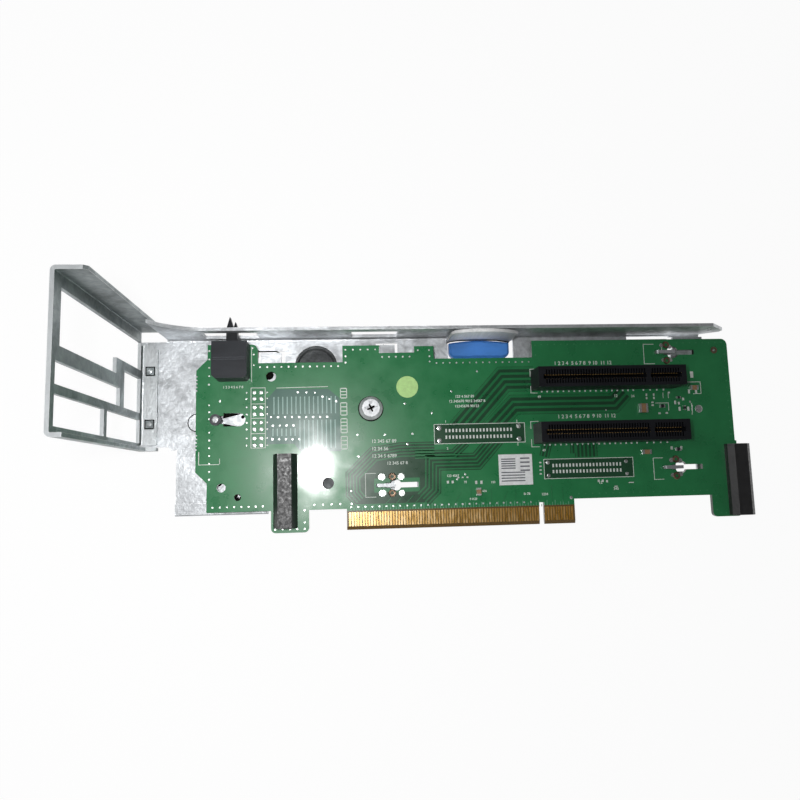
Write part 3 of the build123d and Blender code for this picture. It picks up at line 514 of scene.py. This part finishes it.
def finger_finish(name, tone):
    """Gold fingers, redder towards the right end of the row: a painted change of light along the row."""
    finish = Finish(name, metallic=1.0)
    # Painted light: the colour changes along the row as the light on the fingers does
    along = finish.spread(finish.axis("X"), -70 * MM, 10 * MM)
    base = finish.blend(along, scaled(tone, 1.1), scaled(tone, 2.0, 1.65, 0.75))
    rub = finish.noise(0.7, 3, 0.6, stretch=(1, 0.12, 1))
    base = finish.blend(finish.times(finish.spread(rub, 0.45, 0.75), 0.4), base, [0.95, 0.9, 0.72])
    finish.bump(rub, 0.006, 0.6)
    return finish.paint(base, finish.spread(rub, 0.3, 0.7, 0.22, 0.42))


def mesh_piece(name, mesh_builder, finish, smooth=False):
    """A piece whose mesh is built at its place in the row frame."""
    grid = bmesh.new()
    mesh_builder(grid)
    bmesh.ops.recalc_face_normals(grid, faces=grid.faces)
    mesh = bpy.data.meshes.new(name)
    grid.to_mesh(mesh)
    grid.free()
    if not mesh.polygons:
        raise RuntimeError(f"{name} has no faces")
    if smooth:
        for polygon in mesh.polygons:
            polygon.use_smooth = True
    mesh.materials.append(finish)
    piece = linked_object(name, mesh)
    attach(piece, BODY)
    return piece


def prism(grid, ring, low, high):
    """Closed bar between two heights; ring is a list of X and Y in millimetres."""
    lower = [grid.verts.new((x * MM, y * MM, low * MM)) for x, y in ring]
    upper = [grid.verts.new((x * MM, y * MM, high * MM)) for x, y in ring]
    grid.faces.new(lower[::-1])
    grid.faces.new(upper)
    for i in range(len(ring)):
        j = (i + 1) % len(ring)
        grid.faces.new((lower[i], lower[j], upper[j], upper[i]))


def shifted(points, offset):
    """A line moved sideways by offset, with mitred corners."""
    points = [Vector(p) for p in points]
    normals = []
    for a, b in zip(points, points[1:]):
        run = (b - a).normalized()
        normals.append(Vector((-run.y, run.x)))
    moved = []
    for i, point in enumerate(points):
        before = normals[max(i - 1, 0)]
        after = normals[min(i, len(normals) - 1)]
        middle = (before + after).normalized()
        moved.append(point + middle * offset / max(middle.dot(after), 0.3))
    return [(p.x, p.y) for p in moved]


def strip(grid, points, width, low, high):
    """Bar of constant width along a line of points."""
    if len(points) > 3 and points[0] == points[-1]:
        for a, b in zip(points, points[1:]):
            run = (Vector(b) - Vector(a)).normalized() * width / 2
            strip(grid, [(a[0] - run.x, a[1] - run.y), (b[0] - run.x, b[1] - run.y)], width, low, high)
        return
    ring = shifted(points, -width / 2) + shifted(points, width / 2)[::-1]
    prism(grid, ring, low, high)


def block(grid, x, y, width, length, low, high):
    ring = [
        (x - width / 2, y - length / 2), (x + width / 2, y - length / 2),
        (x + width / 2, y + length / 2), (x - width / 2, y + length / 2),
    ]
    prism(grid, ring, low, high)


def level_ring(grid, x, y, radius, level, sides):
    """Corners of a level circle, all the same one where its radius is zero."""
    if radius == 0:
        return [grid.verts.new((x * MM, y * MM, level * MM))] * sides
    return [
        grid.verts.new((
            (x + radius * math.cos(math.tau * i / sides)) * MM,
            (y + radius * math.sin(math.tau * i / sides)) * MM, level * MM,
        ))
        for i in range(sides)
    ]


def join_rings(grid, pairs, sides):
    for under, over in pairs:
        for i in range(sides):
            j = (i + 1) % sides
            grid.faces.new(list(dict.fromkeys((under[i], under[j], over[j], over[i]))))


def dome(grid, x, y, radius, low, height, sides=14):
    """Low rounded button."""
    rings = []
    for turn in (0.0, 0.5, 1.0):
        reach = radius * math.cos(turn * math.pi / 3)
        rings.append(level_ring(grid, x, y, reach, low + height * math.sin(turn * math.pi / 2), sides))
    grid.faces.new(rings[0][::-1])
    join_rings(grid, zip(rings, rings[1:]), sides)
    grid.faces.new(rings[-1])


def turned(grid, x, y, profile, sides):
    """Closed ring or disc turned from radius and height pairs; a radius of zero closes on the axis."""
    rings = [level_ring(grid, x, y, radius, level, sides) for radius, level in profile]
    pairs = list(zip(rings, rings[1:]))
    if profile[0][0] > 0:
        pairs.append((rings[-1], rings[0]))
    join_rings(grid, pairs, sides)


def cross(grid, place, reach, turn, width, low, high, lift):
    """Two bars across each other; lift keeps their tops apart."""
    x, y = place
    for quarter in (0, math.pi / 2):
        dx, dy = reach * math.cos(turn + quarter), reach * math.sin(turn + quarter)
        strip(grid, [(x - dx, y - dy), (x + dx, y + dy)], width, low, high + lift * quarter)


def row_tree():
    """Geometry Nodes that set a small raised shape at equal steps along every line."""
    tree = bpy.data.node_groups.new("Raised rows", "GeometryNodeTree")
    sockets = {}
    for label, kind, default in (
        ("Geometry", "NodeSocketGeometry", None), ("Spacing", "NodeSocketFloat", 0.00254),
        ("Radius", "NodeSocketFloat", 0.0004), ("Height", "NodeSocketFloat", 0.00005),
        ("Sides", "NodeSocketInt", 10), ("Turn", "NodeSocketFloat", 0.0),
        ("Least size", "NodeSocketFloat", 0.9), ("Finish", "NodeSocketMaterial", None),
    ):
        socket = tree.interface.new_socket(label, in_out="INPUT", socket_type=kind)
        if default is not None:
            socket.default_value = default
        sockets[label] = socket.identifier
    tree.interface.new_socket("Geometry", in_out="OUTPUT", socket_type="NodeSocketGeometry")
    given = add(tree, "NodeGroupInput").outputs
    curve = add(tree, "GeometryNodeMeshToCurve", {"Mesh": given["Geometry"]})
    steps = add(tree, "GeometryNodeResampleCurve", {
        "Curve": curve.outputs["Curve"], "Length": given["Spacing"],
    }, mode="LENGTH")
    shape = add(tree, "GeometryNodeMeshCylinder", {
        "Vertices": given["Sides"], "Radius": given["Radius"], "Depth": given["Height"],
    })
    sizes = add(tree, "FunctionNodeRandomValue", {2: given["Least size"], 3: 1.0, "Seed": 7}, data_type="FLOAT")
    turn = add(tree, "ShaderNodeCombineXYZ", {"Z": given["Turn"]})
    placed = add(tree, "GeometryNodeInstanceOnPoints", {
        "Points": steps.outputs["Curve"], "Instance": shape.outputs["Mesh"],
        "Rotation": turn.outputs["Vector"], "Scale": sizes.outputs[1],
    })
    real = add(tree, "GeometryNodeRealizeInstances", {"Geometry": placed.outputs["Instances"]})
    coat = add(tree, "GeometryNodeSetMaterial", {
        "Geometry": real.outputs["Geometry"], "Material": given["Finish"],
    })
    add(tree, "NodeGroupOutput", {"Geometry": coat.outputs["Geometry"]})
    return tree, sockets


def row_piece(name, lines, level, finish, slot, **inputs):
    """Raised shapes along lines at one height, made by the Geometry Nodes tree and kept as a mesh."""
    mesh = bpy.data.meshes.new(name)
    points, edges = [], []
    for line in lines:
        start = len(points)
        points += [(x * MM, y * MM, level * MM) for x, y in line]
        edges += [(start + i, start + i + 1) for i in range(len(line) - 1)]
    mesh.from_pydata(points, edges, [])
    piece = linked_object(name, mesh)
    modifier = piece.modifiers.new("Rows", "NODES")
    tree, sockets = row_tree()
    modifier.node_group = tree
    for label, value in inputs.items():
        modifier[sockets[label.replace("_", " ").capitalize()]] = value
    modifier[sockets["Finish"]] = finish
    graph = bpy.context.evaluated_depsgraph_get()
    made = bpy.data.meshes.new_from_object(piece.evaluated_get(graph))
    piece.modifiers.clear()
    piece.data = made
    if not made.polygons:
        raise RuntimeError(f"{name} came out empty")
    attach(piece, BODY)
    return piece


def dress(node, finish):
    """Give a carried CAD node its finish."""
    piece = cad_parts[node]
    piece.data.materials.clear()
    piece.data.materials.append(finish)
    for polygon in piece.data.polygons:
        polygon.material_index = 0


class RISER_OT_stage(bpy.types.Operator):
    """Camera, lamps, world and the pale floor"""
    bl_idname = "riser.stage"
    bl_label = "Stage"

    def execute(self, context):
        scene = context.scene
        camera = bpy.data.cameras.new("camera")
        camera.sensor_fit = "HORIZONTAL"
        camera.sensor_width = 36
        camera.lens = CAMERA_LENS
        camera.clip_start = 0.005
        camera.clip_end = 20
        eye = linked_object("camera", camera)
        eye.location = CAMERA_PLACE
        eye.rotation_euler = Euler([math.radians(angle) for angle in CAMERA_TURN])
        scene.camera = eye
        scene.view_settings.view_transform = "Standard"
        for name, settings in LAMPS.items():
            self.lamp(name, *settings)
        self.world(scene)
        self.floor()
        return {"FINISHED"}

    def lamp(self, name, place, target, size, watts):
        light = bpy.data.lights.new(name, "AREA")
        light.shape = "DISK"
        light.size = size
        light.energy = watts
        lamp = linked_object(name, light)
        lamp.location = place
        lamp.rotation_euler = (Vector(target) - Vector(place)).to_track_quat("-Z", "Y").to_euler()

    def seen_directly(self, tree):
        """One for rays that show the background: straight from the camera, or through metal and glass."""
        path = add(tree, "ShaderNodeLightPath").outputs
        total = path["Is Camera Ray"]
        for name in ("Is Glossy Ray", "Is Transmission Ray"):
            total = add(tree, "ShaderNodeMath", {0: total, 1: path[name]}, operation="MAXIMUM").outputs[0]
        return total

    def world(self, scene):
        """White at the horizon, dark overhead."""
        world = bpy.data.worlds.new("studio")
        world.use_nodes = True
        scene.world = world
        tree = world.node_tree
        place = add(tree, "ShaderNodeTexCoord").outputs["Generated"]
        up = add(tree, "ShaderNodeSeparateXYZ", {"Vector": place}).outputs["Z"]
        level = add(tree, "ShaderNodeMapRange", {
            "Value": up, "From Min": 0.1, "From Max": 0.62, "To Min": 1.0, "To Max": 0.11,
        }, interpolation_type="SMOOTHSTEP")
        fill(tree, tree.nodes["Background"], {
            "Color": (1.0, 1.0, 1.0, 1.0), "Strength": level.outputs["Result"],
        })

    def floor(self):
        """Pale matt floor just under the plate, with most of its brightness its own where it is seen."""
        mesh = bpy.data.meshes.new("floor")
        reach = 4.0
        level = PLATE_BACK - 0.00005
        mesh.from_pydata(
            [(-reach, -reach, level), (reach, -reach, level), (reach, reach, level), (-reach, reach, level)],
            [], [(0, 1, 2, 3)],
        )
        floor = linked_object("floor", mesh)
        material = bpy.data.materials.new("floor_paint")
        material.use_nodes = True
        tree = material.node_tree
        grain = add(tree, "ShaderNodeTexNoise", {"Scale": 900}).outputs["Fac"]
        bump = add(tree, "ShaderNodeBump", {"Distance": 0.00001, "Height": grain}).outputs["Normal"]
        paint = fill(tree, tree.nodes["Principled BSDF"], {
            "Roughness": 0.9, "Base Color": (1.0, 1.0, 1.0, 1.0), "Normal": bump,
        })
        share = add(tree, "ShaderNodeMath", {0: self.seen_directly(tree), 1: 0.94}, operation="MULTIPLY")
        glow = add(tree, "ShaderNodeEmission").outputs["Emission"]
        mix = add(tree, "ShaderNodeMixShader", {"Fac": share.outputs[0], 1: paint.outputs["BSDF"], 2: glow})
        fill(tree, tree.nodes["Material Output"], {"Surface": mix.outputs["Shader"]})
        mesh.materials.append(material)


class RISER_OT_metal(bpy.types.Operator):
    """Zinc plated carrier, side frame, joints, screw, spacer and stud"""
    bl_idname = "riser.metal"
    bl_label = "Sheet metal"

    def execute(self, context):
        colours = context.scene.riser_colours
        # The carrier is painted darker towards its bottom as shade
        dress("carrier_plate", zinc_finish("carrier_zinc", colours.zinc, 0.4, 0.62, low_shade=0.6))
        # The side frame: painted shade in its darker zinc, and a painted highlight where it faces up
        dress("side_frame", zinc_finish("frame_zinc_shaded", colours.frame_zinc_shaded, 0.36, 0.55, top_highlight=0.5))
        dress("frame_rivets", zinc_finish("joint_zinc", colours.frame_zinc_shaded, 0.3, 0.5))
        bright = plated_finish("bright_steel", colour("d4d6d8"), 0.5, 0.66)
        dress("mounting_screw", bright)
        dress("board_standoff", bright)
        # The stud's head is painted dark as shade
        dress("keyhole_stud", plated_finish("stud_painted_shade", colour("4a4b4e"), 0.45, 0.6))
        mesh_piece("stud_button", lambda grid: dome(grid, *STUD, 1.25, 1.0, 0.3, 18), bright)
        self.plate_details(colours)
        return {"FINISHED"}

    def plate_details(self, colours):
        """Discs painted dark as shade, plug and painted shadows of the plate, strip over the pad, pressed
        joints ringed with painted shade, and the screws' crosses, the main one painted shade.
        """
        back = PLATE_BACK / MM
        front = back + PLATE_THICKNESS
        under = front - SHEET_SUNK

        def dishes(grid):
            turned(grid, *LARGE_DISH, [
                (0.0, back + 0.15), (8.1, back + 0.15), (8.15, front - 0.1), (7.3, front - 0.15),
                (6.4, front - 0.55), (0.0, front - 0.7),
            ], 40)
            turned(grid, *SMALL_DISH, [
                (0.0, back + 0.1), (2.6, back + 0.1), (2.6, front - 0.3), (0.0, front - 0.5),
            ], 24)

        def plug(grid):
            turned(grid, *PLUG, [(0.0, back + 0.05), (3.12, back + 0.05), (3.12, front), (0.0, front)], 30)

        def shadow_marks(grid):
            # Ring of painted shadow round the plug
            turned(grid, *PLUG, [(3.1, back + 0.1), (3.45, back + 0.1), (3.45, front), (3.1, front)], 30)
            # Lines of painted shadow at the tabs and along the foot's hem
            for points in PAINTED_SHADOW_LINES:
                strip(grid, points, 0.5, under, front + 0.06)
            # Dark domes at the board's holes: painted shade
            for x, y, radius in HOLE_SHADES:
                dome(grid, x, y, radius, under, 0.12, 20)
            # Wedges of painted shadow beside the stud
            left, right = STUD_SHADOW
            for side in (-1, 1):
                outer, inner = STUD[1] + side * 2.7, STUD[1] + side * 0.9
                prism(grid, [(left, outer), (right, outer), (left, inner)], under, front + 0.05)
            # Line of painted shadow under the strip over the pad
            strip(grid, PAD_BOW_INNER, 0.35, under, front + 1.4)

        def tool_screw(grid):
            cross(grid, TOOL_SCREW, 0.6, 0.3, 0.27, front + 0.05, front + 0.2, 0.01)

        def recess(grid):
            # Painted shade: a dark cross in the screw head's recess, and a ring of painted shadow round the
            # head on the board
            cross(grid, SCREW, 1.5, 0.45, 0.62, 2.2, 2.8168, 0.004)
            turned(grid, *SCREW, [(4.3, 0.0), (4.75, 0.0), (4.7, 0.12), (4.3, 0.12)], 36)

        def bow(grid):
            prism(grid, PAD_BOW_OUTER + PAD_BOW_INNER, under, BOW_TOP)

        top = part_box("frame_rivets")[1].z / MM

        def joint_crease_shades(grid):
            # Dark outlines round the pressed joints: painted shade in their creases
            corners = [(-1.55, -1.55), (1.55, -1.55), (1.55, 1.55), (-1.55, 1.55), (-1.55, -1.55)]
            for y in JOINT_ROWS:
                line = [(JOINT_X + a, y + b) for a, b in corners]
                strip(grid, line, 0.4, top - SHEET_SUNK, top + 0.06)

        def joint_buttons(grid):
            for y in JOINT_ROWS:
                dome(grid, JOINT_X, y, 0.85, top - SHEET_SUNK, 0.3, 18)

        bright = zinc_finish("bow_zinc", colours.zinc, 0.3, 0.5)
        # Near black finish of the painted shadow and shade on the plate and the screw
        dark = plated_finish("painted_shade_dark", colour("1d1c1b"), 0.6, 0.8)
        # Discs in the plate's round holes are painted dark as shade
        mesh_piece("plate_dishes", dishes, zinc_finish("dish_painted_shade", colour("4b4d4e"), 0.42, 0.6))
        mesh_piece("plate_plug", plug, bright)
        mesh_piece("painted_shadow_strips", shadow_marks, dark)
        mesh_piece("tool_screw_cross", tool_screw, bright)
        mesh_piece("screw_recess_shade", recess, dark)
        mesh_piece("pad_bow", bow, bow_finish("bow_steel"))
        mesh_piece("joint_crease_shades", joint_crease_shades, dark)
        mesh_piece("joint_buttons", joint_buttons, bright)


class RISER_OT_board(bpy.types.Operator):
    """Solder mask and laminate of the circuit board, and the gold of its card edge"""
    bl_idname = "riser.board"
    bl_label = "Circuit board"

    def execute(self, context):
        colours = context.scene.riser_colours
        dress("circuit_board", mask_finish("solder_mask", colours.mask, colours.laminate))
        fingers = finger_finish("finger_gold", colours.gold)
        dress("edge_contacts_front", fingers)
        dress("edge_contacts_back", fingers)
        return {"FINISHED"}


class RISER_OT_copper(bpy.types.Operator):
    """Trace bundles and the copper area that show through the solder mask"""
    bl_idname = "riser.copper"
    bl_label = "Copper under the mask"

    def execute(self, context):
        sizes = context.scene.riser_sizes
        colours = context.scene.riser_colours
        dark = mask_finish("mask_bare", colours.bare_mask, colours.laminate, 0.1)
        light = mask_finish("mask_trace", scaled(colours.mask, 0.86), colours.laminate, 0.1)
        zone = mask_finish("mask_zone", colour("2b6353"), colours.laminate)
        height = sizes.trace_height / MM
        width = sizes.trace_width / MM

        def beds(grid):
            for points, count, step in BUNDLES:
                middle = shifted(points, step * (count - 1) / 2)
                strip(grid, middle, abs(step) * (count - 1) + 1.2, SUNK, height * 0.3)
            for ring in HOOK_GROUNDS:
                prism(grid, ring, SUNK, height * 0.22)

        def traces(grid):
            for points, count, step in BUNDLES:
                for i in range(count):
                    line = shifted(points, step * i)
                    strip(grid, line, abs(step) * 0.42, SUNK, height + 0.0015 * i)
            for line in LOW_TRACES:
                strip(grid, line, width, SUNK, height * 1.6)

        def area(grid):
            prism(grid, COPPER_ZONE, SUNK, height)

        def stripes(grid):
            for x, top, bottom in ZONE_STRIPES:
                strip(grid, [(x, top), (x, bottom)], 0.4, 0, height * 2)

        mesh_piece("trace_beds", beds, dark)
        mesh_piece("traces", traces, light)
        mesh_piece("copper_area", area, zone)
        pale = mask_finish("mask_stripe", colour("8fb5aa"), colours.laminate)
        mesh_piece("area_stripes", stripes, pale)
        return {"FINISHED"}


class RISER_OT_vias(bpy.types.Operator):
    """Rows of tinned vias along the edges, beside the header and in the copper area"""
    bl_idname = "riser.vias"
    bl_label = "Vias"

    def execute(self, context):
        sizes = context.scene.riser_sizes
        colours = context.scene.riser_colours
        tin = plated_finish("via_tin", colours.tin, 0.3, 0.5, 0.2)
        masked = mask_finish("mask_via", colour("3f8f5e"), colours.laminate)
        tail_tin = printed_finish("tail_solder", colour("e6e8e6"))
        level = sizes.via_height / MM / 2
        tails = [
            [(SLOT_KEY_X + start, row - TAIL_DROP), (SLOT_KEY_X + end, row - TAIL_DROP)]
            for row in SLOT_ROWS for start, end in TAIL_ROWS
        ]
        row_piece(
            "edge_vias", EDGE_VIAS, level, tin, "contact_metal", spacing=sizes.via_spacing,
            radius=sizes.via_radius, height=sizes.via_height, sides=12, least_size=0.8,
        )
        row_piece(
            "masked_vias", MASKED_VIAS, level, masked, "board_mask", spacing=sizes.via_spacing,
            radius=sizes.via_radius * 0.8, height=sizes.via_height, sides=10, least_size=0.8,
        )
        row_piece(
            "area_vias", ZONE_VIAS, level + 0.05, tin, "contact_metal", spacing=2.4 * MM,
            radius=sizes.via_radius * 1.1, height=sizes.via_height, sides=12, least_size=0.75,
        )
        row_piece(
            "tail_pads", tails, level, tail_tin, "contact_metal", spacing=2.0 * MM,
            radius=0.42 * MM, height=sizes.via_height, sides=4, turn=math.pi / 4, least_size=0.9,
        )

        def loose(grid):
            for x, y in LOOSE_VIAS:
                dome(grid, x, y, 0.42, SUNK, 0.05, 10)
            for y in HEADER_ROWS:
                dome(grid, HEADER_VIAS, y, 0.34, SUNK, 0.05, 10)
                dome(grid, HEADER_MARKS, y, 0.3, SUNK, 0.09, 10)

        mesh_piece("loose_vias", loose, tin)
        return {"FINISHED"}


class RISER_OT_pads(bpy.types.Operator):
    """Pads and rings beside the hooks, pads of the header and of two empty connector places, finger traces"""
    bl_idname = "riser.pads"
    bl_label = "Solder pads"

    def execute(self, context):
        sizes = context.scene.riser_sizes
        colours = context.scene.riser_colours
        solder = plated_finish("solder", colours.tin, 0.2, 0.38, 0.4)
        dark = mask_finish("mask_footprint", colours.bare_mask, colours.laminate)
        height = sizes.pad_height / MM

        def grounds(grid):
            for place in FOOTPRINTS:
                block(grid, *place, SUNK, 0.045)

        def pads(grid):
            for x, y, width, length in HOOK_PADS:
                ring = []
                cut = min(width, length) * 0.3
                for sx, sy in ((-1, -1), (1, -1), (1, 1), (-1, 1)):
                    cx, cy = x + sx * width / 2, y + sy * length / 2
                    first, second = (cx, cy - sy * cut), (cx - sx * cut, cy)
                    ring += [first, second] if sx * sy > 0 else [second, first]
                prism(grid, ring, SUNK, height)
            for x, y, radius in FOOTPRINT_DOTS:
                dome(grid, x, y, radius, SUNK, 0.22)
            for y in HEADER_ROWS:
                for x in HEADER_PADS:
                    dome(grid, x, y, 0.78, SUNK, 0.16)
            for x, y, radius in SOLDER_DOTS:
                dome(grid, x, y, radius, SUNK, 0.1)

        def fine(grid):
            for start, end, y, step in FOOTPRINT_ROWS:
                count = round((end - start) / step)
                for i in range(count + 1):
                    x = start + (end - start) * i / count
                    block(grid, x, y, 0.62, 1.25, SUNK, height)

        def rings(grid):
            for x, y in HOOK_RINGS:
                turned(grid, x, y, [(0.6, SUNK), (1.45, SUNK), (1.2, 0.35), (0.6, 0.3)], 18)
            turned(grid, *CORNER_RING, [(0.6, SUNK), (1.35, SUNK), (1.3, 0.1), (0.6, 0.1)], 24)

        def tails(grid):
            for i in range(FINGER_TAILS):
                x = FIRST_TAIL + FINGER_STEP * i
                strip(grid, [(x, 6.5), (x, 7.4 + 0.7 * (i % 3))], 0.26, SUNK, height * 0.6)

        bare = plated_finish("bare_copper", colour("8a7462"), 0.35, 0.55)
        pale = mask_finish("mask_tail", colour("6aa583"), colours.laminate, 0.1)
        mesh_piece("hook_rings", rings, bare)
        mesh_piece("finger_tails", tails, pale)
        mesh_piece("footprint_grounds", grounds, dark)
        mesh_piece("solder_pads", pads, solder)
        mesh_piece("fine_pads", fine, printed_finish("pad_tin", colour("dfe4df"), 0.35, 0.5))
        return {"FINISHED"}


class RISER_OT_silkscreen(bpy.types.Operator):
    """White outlines and plain reference numbers"""
    bl_idname = "riser.silkscreen"
    bl_label = "Silkscreen"

    def execute(self, context):
        sizes = context.scene.riser_sizes
        ink = printed_finish("silk_ink", context.scene.riser_colours.silk, 0.5, 0.7)
        width = sizes.silk_width / MM
        height = sizes.silk_height / MM

        def lines(grid):
            for number, points in enumerate(OUTLINES):
                strip(grid, points, width, SUNK, height + 0.0004 * number)
            for x, top, bottom in SILK_COLUMN:
                strip(grid, [(x, top), (x, bottom)], 0.3, SUNK, height + 0.06)
                strip(grid, [(x + 2.3, top), (x + 2.3, bottom)], 0.3, SUNK, height)
                steps = int((top - bottom) / 1.2)
                for i in range(steps + 1):
                    y = bottom + (top - bottom) * i / steps
                    block(grid, x + 1.15, y, 2.0, 0.42, SUNK, height * 0.9)

        def digits(grid):
            for text, x, y, size in DIGITS:
                curve = bpy.data.curves.new("digits", "FONT")
                curve.body = text
                curve.size = size * 1.25 * MM
                curve.extrude = height * MM / 2
                curve.resolution_u = 3
                curve.offset = 0.03 * MM
                maker = linked_object("digits", curve)
                graph = bpy.context.evaluated_depsgraph_get()
                mesh = bpy.data.meshes.new_from_object(maker.evaluated_get(graph))
                for vertex in mesh.vertices:
                    vertex.co += Vector((x * MM, y * MM, height * MM / 2))
                grid.from_mesh(mesh)
                bpy.data.objects.remove(maker)
                bpy.data.curves.remove(curve)
                bpy.data.meshes.remove(mesh)
            bmesh.ops.remove_doubles(grid, verts=grid.verts, dist=0.000002)

        mesh_piece("silk_lines", lines, ink)
        mesh_piece("silk_digits", digits, ink)
        return {"FINISHED"}


class RISER_OT_slots(bpy.types.Operator):
    """Black card slots and their contacts"""
    bl_idname = "riser.slots"
    bl_label = "Card slots"

    def execute(self, context):
        plastic = moulding_finish("slot_plastic", context.scene.riser_colours.moulding, 0.32, 0.52)
        leaves = plated_finish("leaf_gold", colour("f2c684"), 0.3, 0.5, 0.3)
        for place in ("upper", "lower"):
            dress(f"{place}_slot_housing", plastic)
            dress(f"{place}_slot_contacts", leaves)
        return {"FINISHED"}


class RISER_OT_guides(bpy.types.Operator):
    """Moulded guide rails"""
    bl_idname = "riser.guides"
    bl_label = "Guide rails"

    def execute(self, context):
        rail = moulding_finish("guide_plastic", colour("131315"), 0.3, 0.62, grain=0.9, specular=0.7)
        dress("left_guide", rail)
        dress("right_guide", rail)
        return {"FINISHED"}


class RISER_OT_switch(bpy.types.Operator):
    """Cover switch with its plunger, spring and contact strips"""
    bl_idname = "riser.switch"
    bl_label = "Cover switch"

    def execute(self, context):
        tone = context.scene.riser_colours.switch
        dress("switch_housing", moulding_finish("switch_plastic", tone, 0.4, 0.6, grain=0.35))
        # Painted highlight: the ribs are a lighter copy of the switch plastic
        rib_highlight = moulding_finish("ribs_painted_light", scaled(tone, 2.2), 0.4, 0.6)
        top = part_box("switch_housing")[1].z / MM

        def ribs(grid):
            for line in SWITCH_RIBS:
                strip(grid, line, 0.18, top - SHEET_SUNK, top + 0.05)

        mesh_piece("switch_ribs", ribs, rib_highlight)
        dress("switch_plunger", moulding_finish("plunger_plastic", scaled(tone, 0.5), 0.35, 0.5))
        self.spring(plated_finish("spring_wire", colour("b9bcc0"), 0.25, 0.4))
        dress("switch_contacts", plated_finish("switch_strip", colour("c8b48a"), 0.25, 0.4))
        return {"FINISHED"}

    def spring(self, wire_steel):
        """Wound wire in place of the plain spring solid."""
        low, high = (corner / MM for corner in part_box("switch_spring"))
        wire = 0.22
        turns = 7
        steps = 16 * turns
        middle = (low + high) / 2
        radius = (high.x - low.x) / 2 - wire

        def coil(grid):
            rings = []
            for i in range(steps + 1):
                angle = math.tau * turns * i / steps
                y = low.y + wire + (high.y - low.y - 2 * wire) * i / steps
                ring = []
                for around in (math.tau * k / 6 for k in range(6)):
                    reach = radius + wire * math.cos(around)
                    place = Vector((
                        middle.x + reach * math.cos(angle), y + wire * math.sin(around),
                        middle.z + reach * math.sin(angle),
                    ))
                    ring.append(grid.verts.new(place * MM))
                rings.append(ring)
            grid.faces.new(rings[0])
            grid.faces.new(rings[-1])
            for before, after in zip(rings, rings[1:]):
                for k in range(6):
                    grid.faces.new((before[k], before[(k + 1) % 6], after[(k + 1) % 6], after[k]))

        piece = mesh_piece("return_spring", coil, wire_steel, smooth=True)
        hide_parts("switch_spring")
        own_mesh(piece)


class RISER_OT_touch_pad(bpy.types.Operator):
    """Blue touch pad"""
    bl_idname = "riser.touch_pad"
    bl_label = "Touch pad"

    def execute(self, context):
        tone = context.scene.riser_colours.pad
        dress("touch_pad", moulding_finish("pad_plastic", tone, 0.3, 0.45, grain=0.3, specular=0.5))
        return {"FINISHED"}


class RISER_OT_stickers(bpy.types.Operator):
    """White label with a plain ruled print, and the round sticker"""
    bl_idname = "riser.stickers"
    bl_label = "Stickers"

    def execute(self, context):
        colours = context.scene.riser_colours
        dress("label_sticker", printed_finish("label_paper", colours.label))
        dress("inspection_dot", printed_finish("dot_paper", colours.dot))
        ink = printed_finish("label_ink", colour("5f636a"))

        def rules(grid):
            for x, y, count, step, length, width in LABEL_RULES:
                for i in range(count):
                    block(grid, x, y - i * step, length, width, 0.099, 0.104)

        mesh_piece("label_rules", rules, ink)
        return {"FINISHED"}


class RISER_OT_chips(bpy.types.Operator):
    """Small surface parts and their tinned ends"""
    bl_idname = "riser.chips"
    bl_label = "Small parts"

    def execute(self, context):
        dress("chip_capacitors", printed_finish("tan_ceramic", colour("9c7c5c"), 0.35, 0.5))
        dress("chip_resistors", printed_finish("dark_ceramic", colour("26262a"), 0.3, 0.45))
        tin = plated_finish("chip_tin", context.scene.riser_colours.tin, 0.22, 0.4, 0.2)

        def ends(grid):
            for x, y, length, width, height in WIDE_CHIPS:
                for side in (-1, 1):
                    place = x + side * length * 0.42
                    block(grid, place, y, length * 0.24, width + 0.08, SUNK, height + 0.03)
            for x, y, length, width, height in TALL_CHIPS:
                for side in (-1, 1):
                    place = y + side * width * 0.42
                    block(grid, x, place, length + 0.08, width * 0.24, SUNK, height + 0.03)

        def joints(grid):
            for x, y, width, length in SMALL_JOINTS:
                block(grid, x, y, width, length, SUNK, 0.12)

        mesh_piece("chip_ends", ends, tin)
        solder = printed_finish("joint_solder", colour("d5dad4"), 0.3, 0.45)
        mesh_piece("small_joints", joints, solder)
        return {"FINISHED"}


class RISER_PT_panel(bpy.types.Panel):
    """Sizes, colours and the steps that build the riser board"""
    bl_idname = "RISER_PT_panel"
    bl_label = "Riser board"
    bl_space_type = "VIEW_3D"
    bl_region_type = "UI"
    bl_category = "Riser"

    def draw(self, context):
        layout = self.layout
        for group in (context.scene.riser_sizes, context.scene.riser_colours):
            column = layout.column(align=True)
            for name in group.__annotations__:
                column.prop(group, name)
        for step in STEPS:
            layout.operator(step.bl_idname)


STEPS = (
    RISER_OT_stage, RISER_OT_metal, RISER_OT_board, RISER_OT_copper, RISER_OT_vias, RISER_OT_pads,
    RISER_OT_silkscreen, RISER_OT_slots, RISER_OT_guides, RISER_OT_switch, RISER_OT_touch_pad,
    RISER_OT_stickers, RISER_OT_chips,
)
CLASSES = (RiserSizes, RiserColours, *STEPS, RISER_PT_panel)


def register():
    for item in CLASSES:
        bpy.utils.register_class(item)
    bpy.types.Scene.riser_sizes = bpy.props.PointerProperty(type=RiserSizes)
    bpy.types.Scene.riser_colours = bpy.props.PointerProperty(type=RiserColours)


def unregister():
    del bpy.types.Scene.riser_sizes
    del bpy.types.Scene.riser_colours
    for item in reversed(CLASSES):
        bpy.utils.unregister_class(item)


def main():
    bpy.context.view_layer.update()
    register()
    for step in STEPS:
        group, name = step.bl_idname.split(".")
        getattr(getattr(bpy.ops, group), name)()


if __name__ == "__main__":
    main()
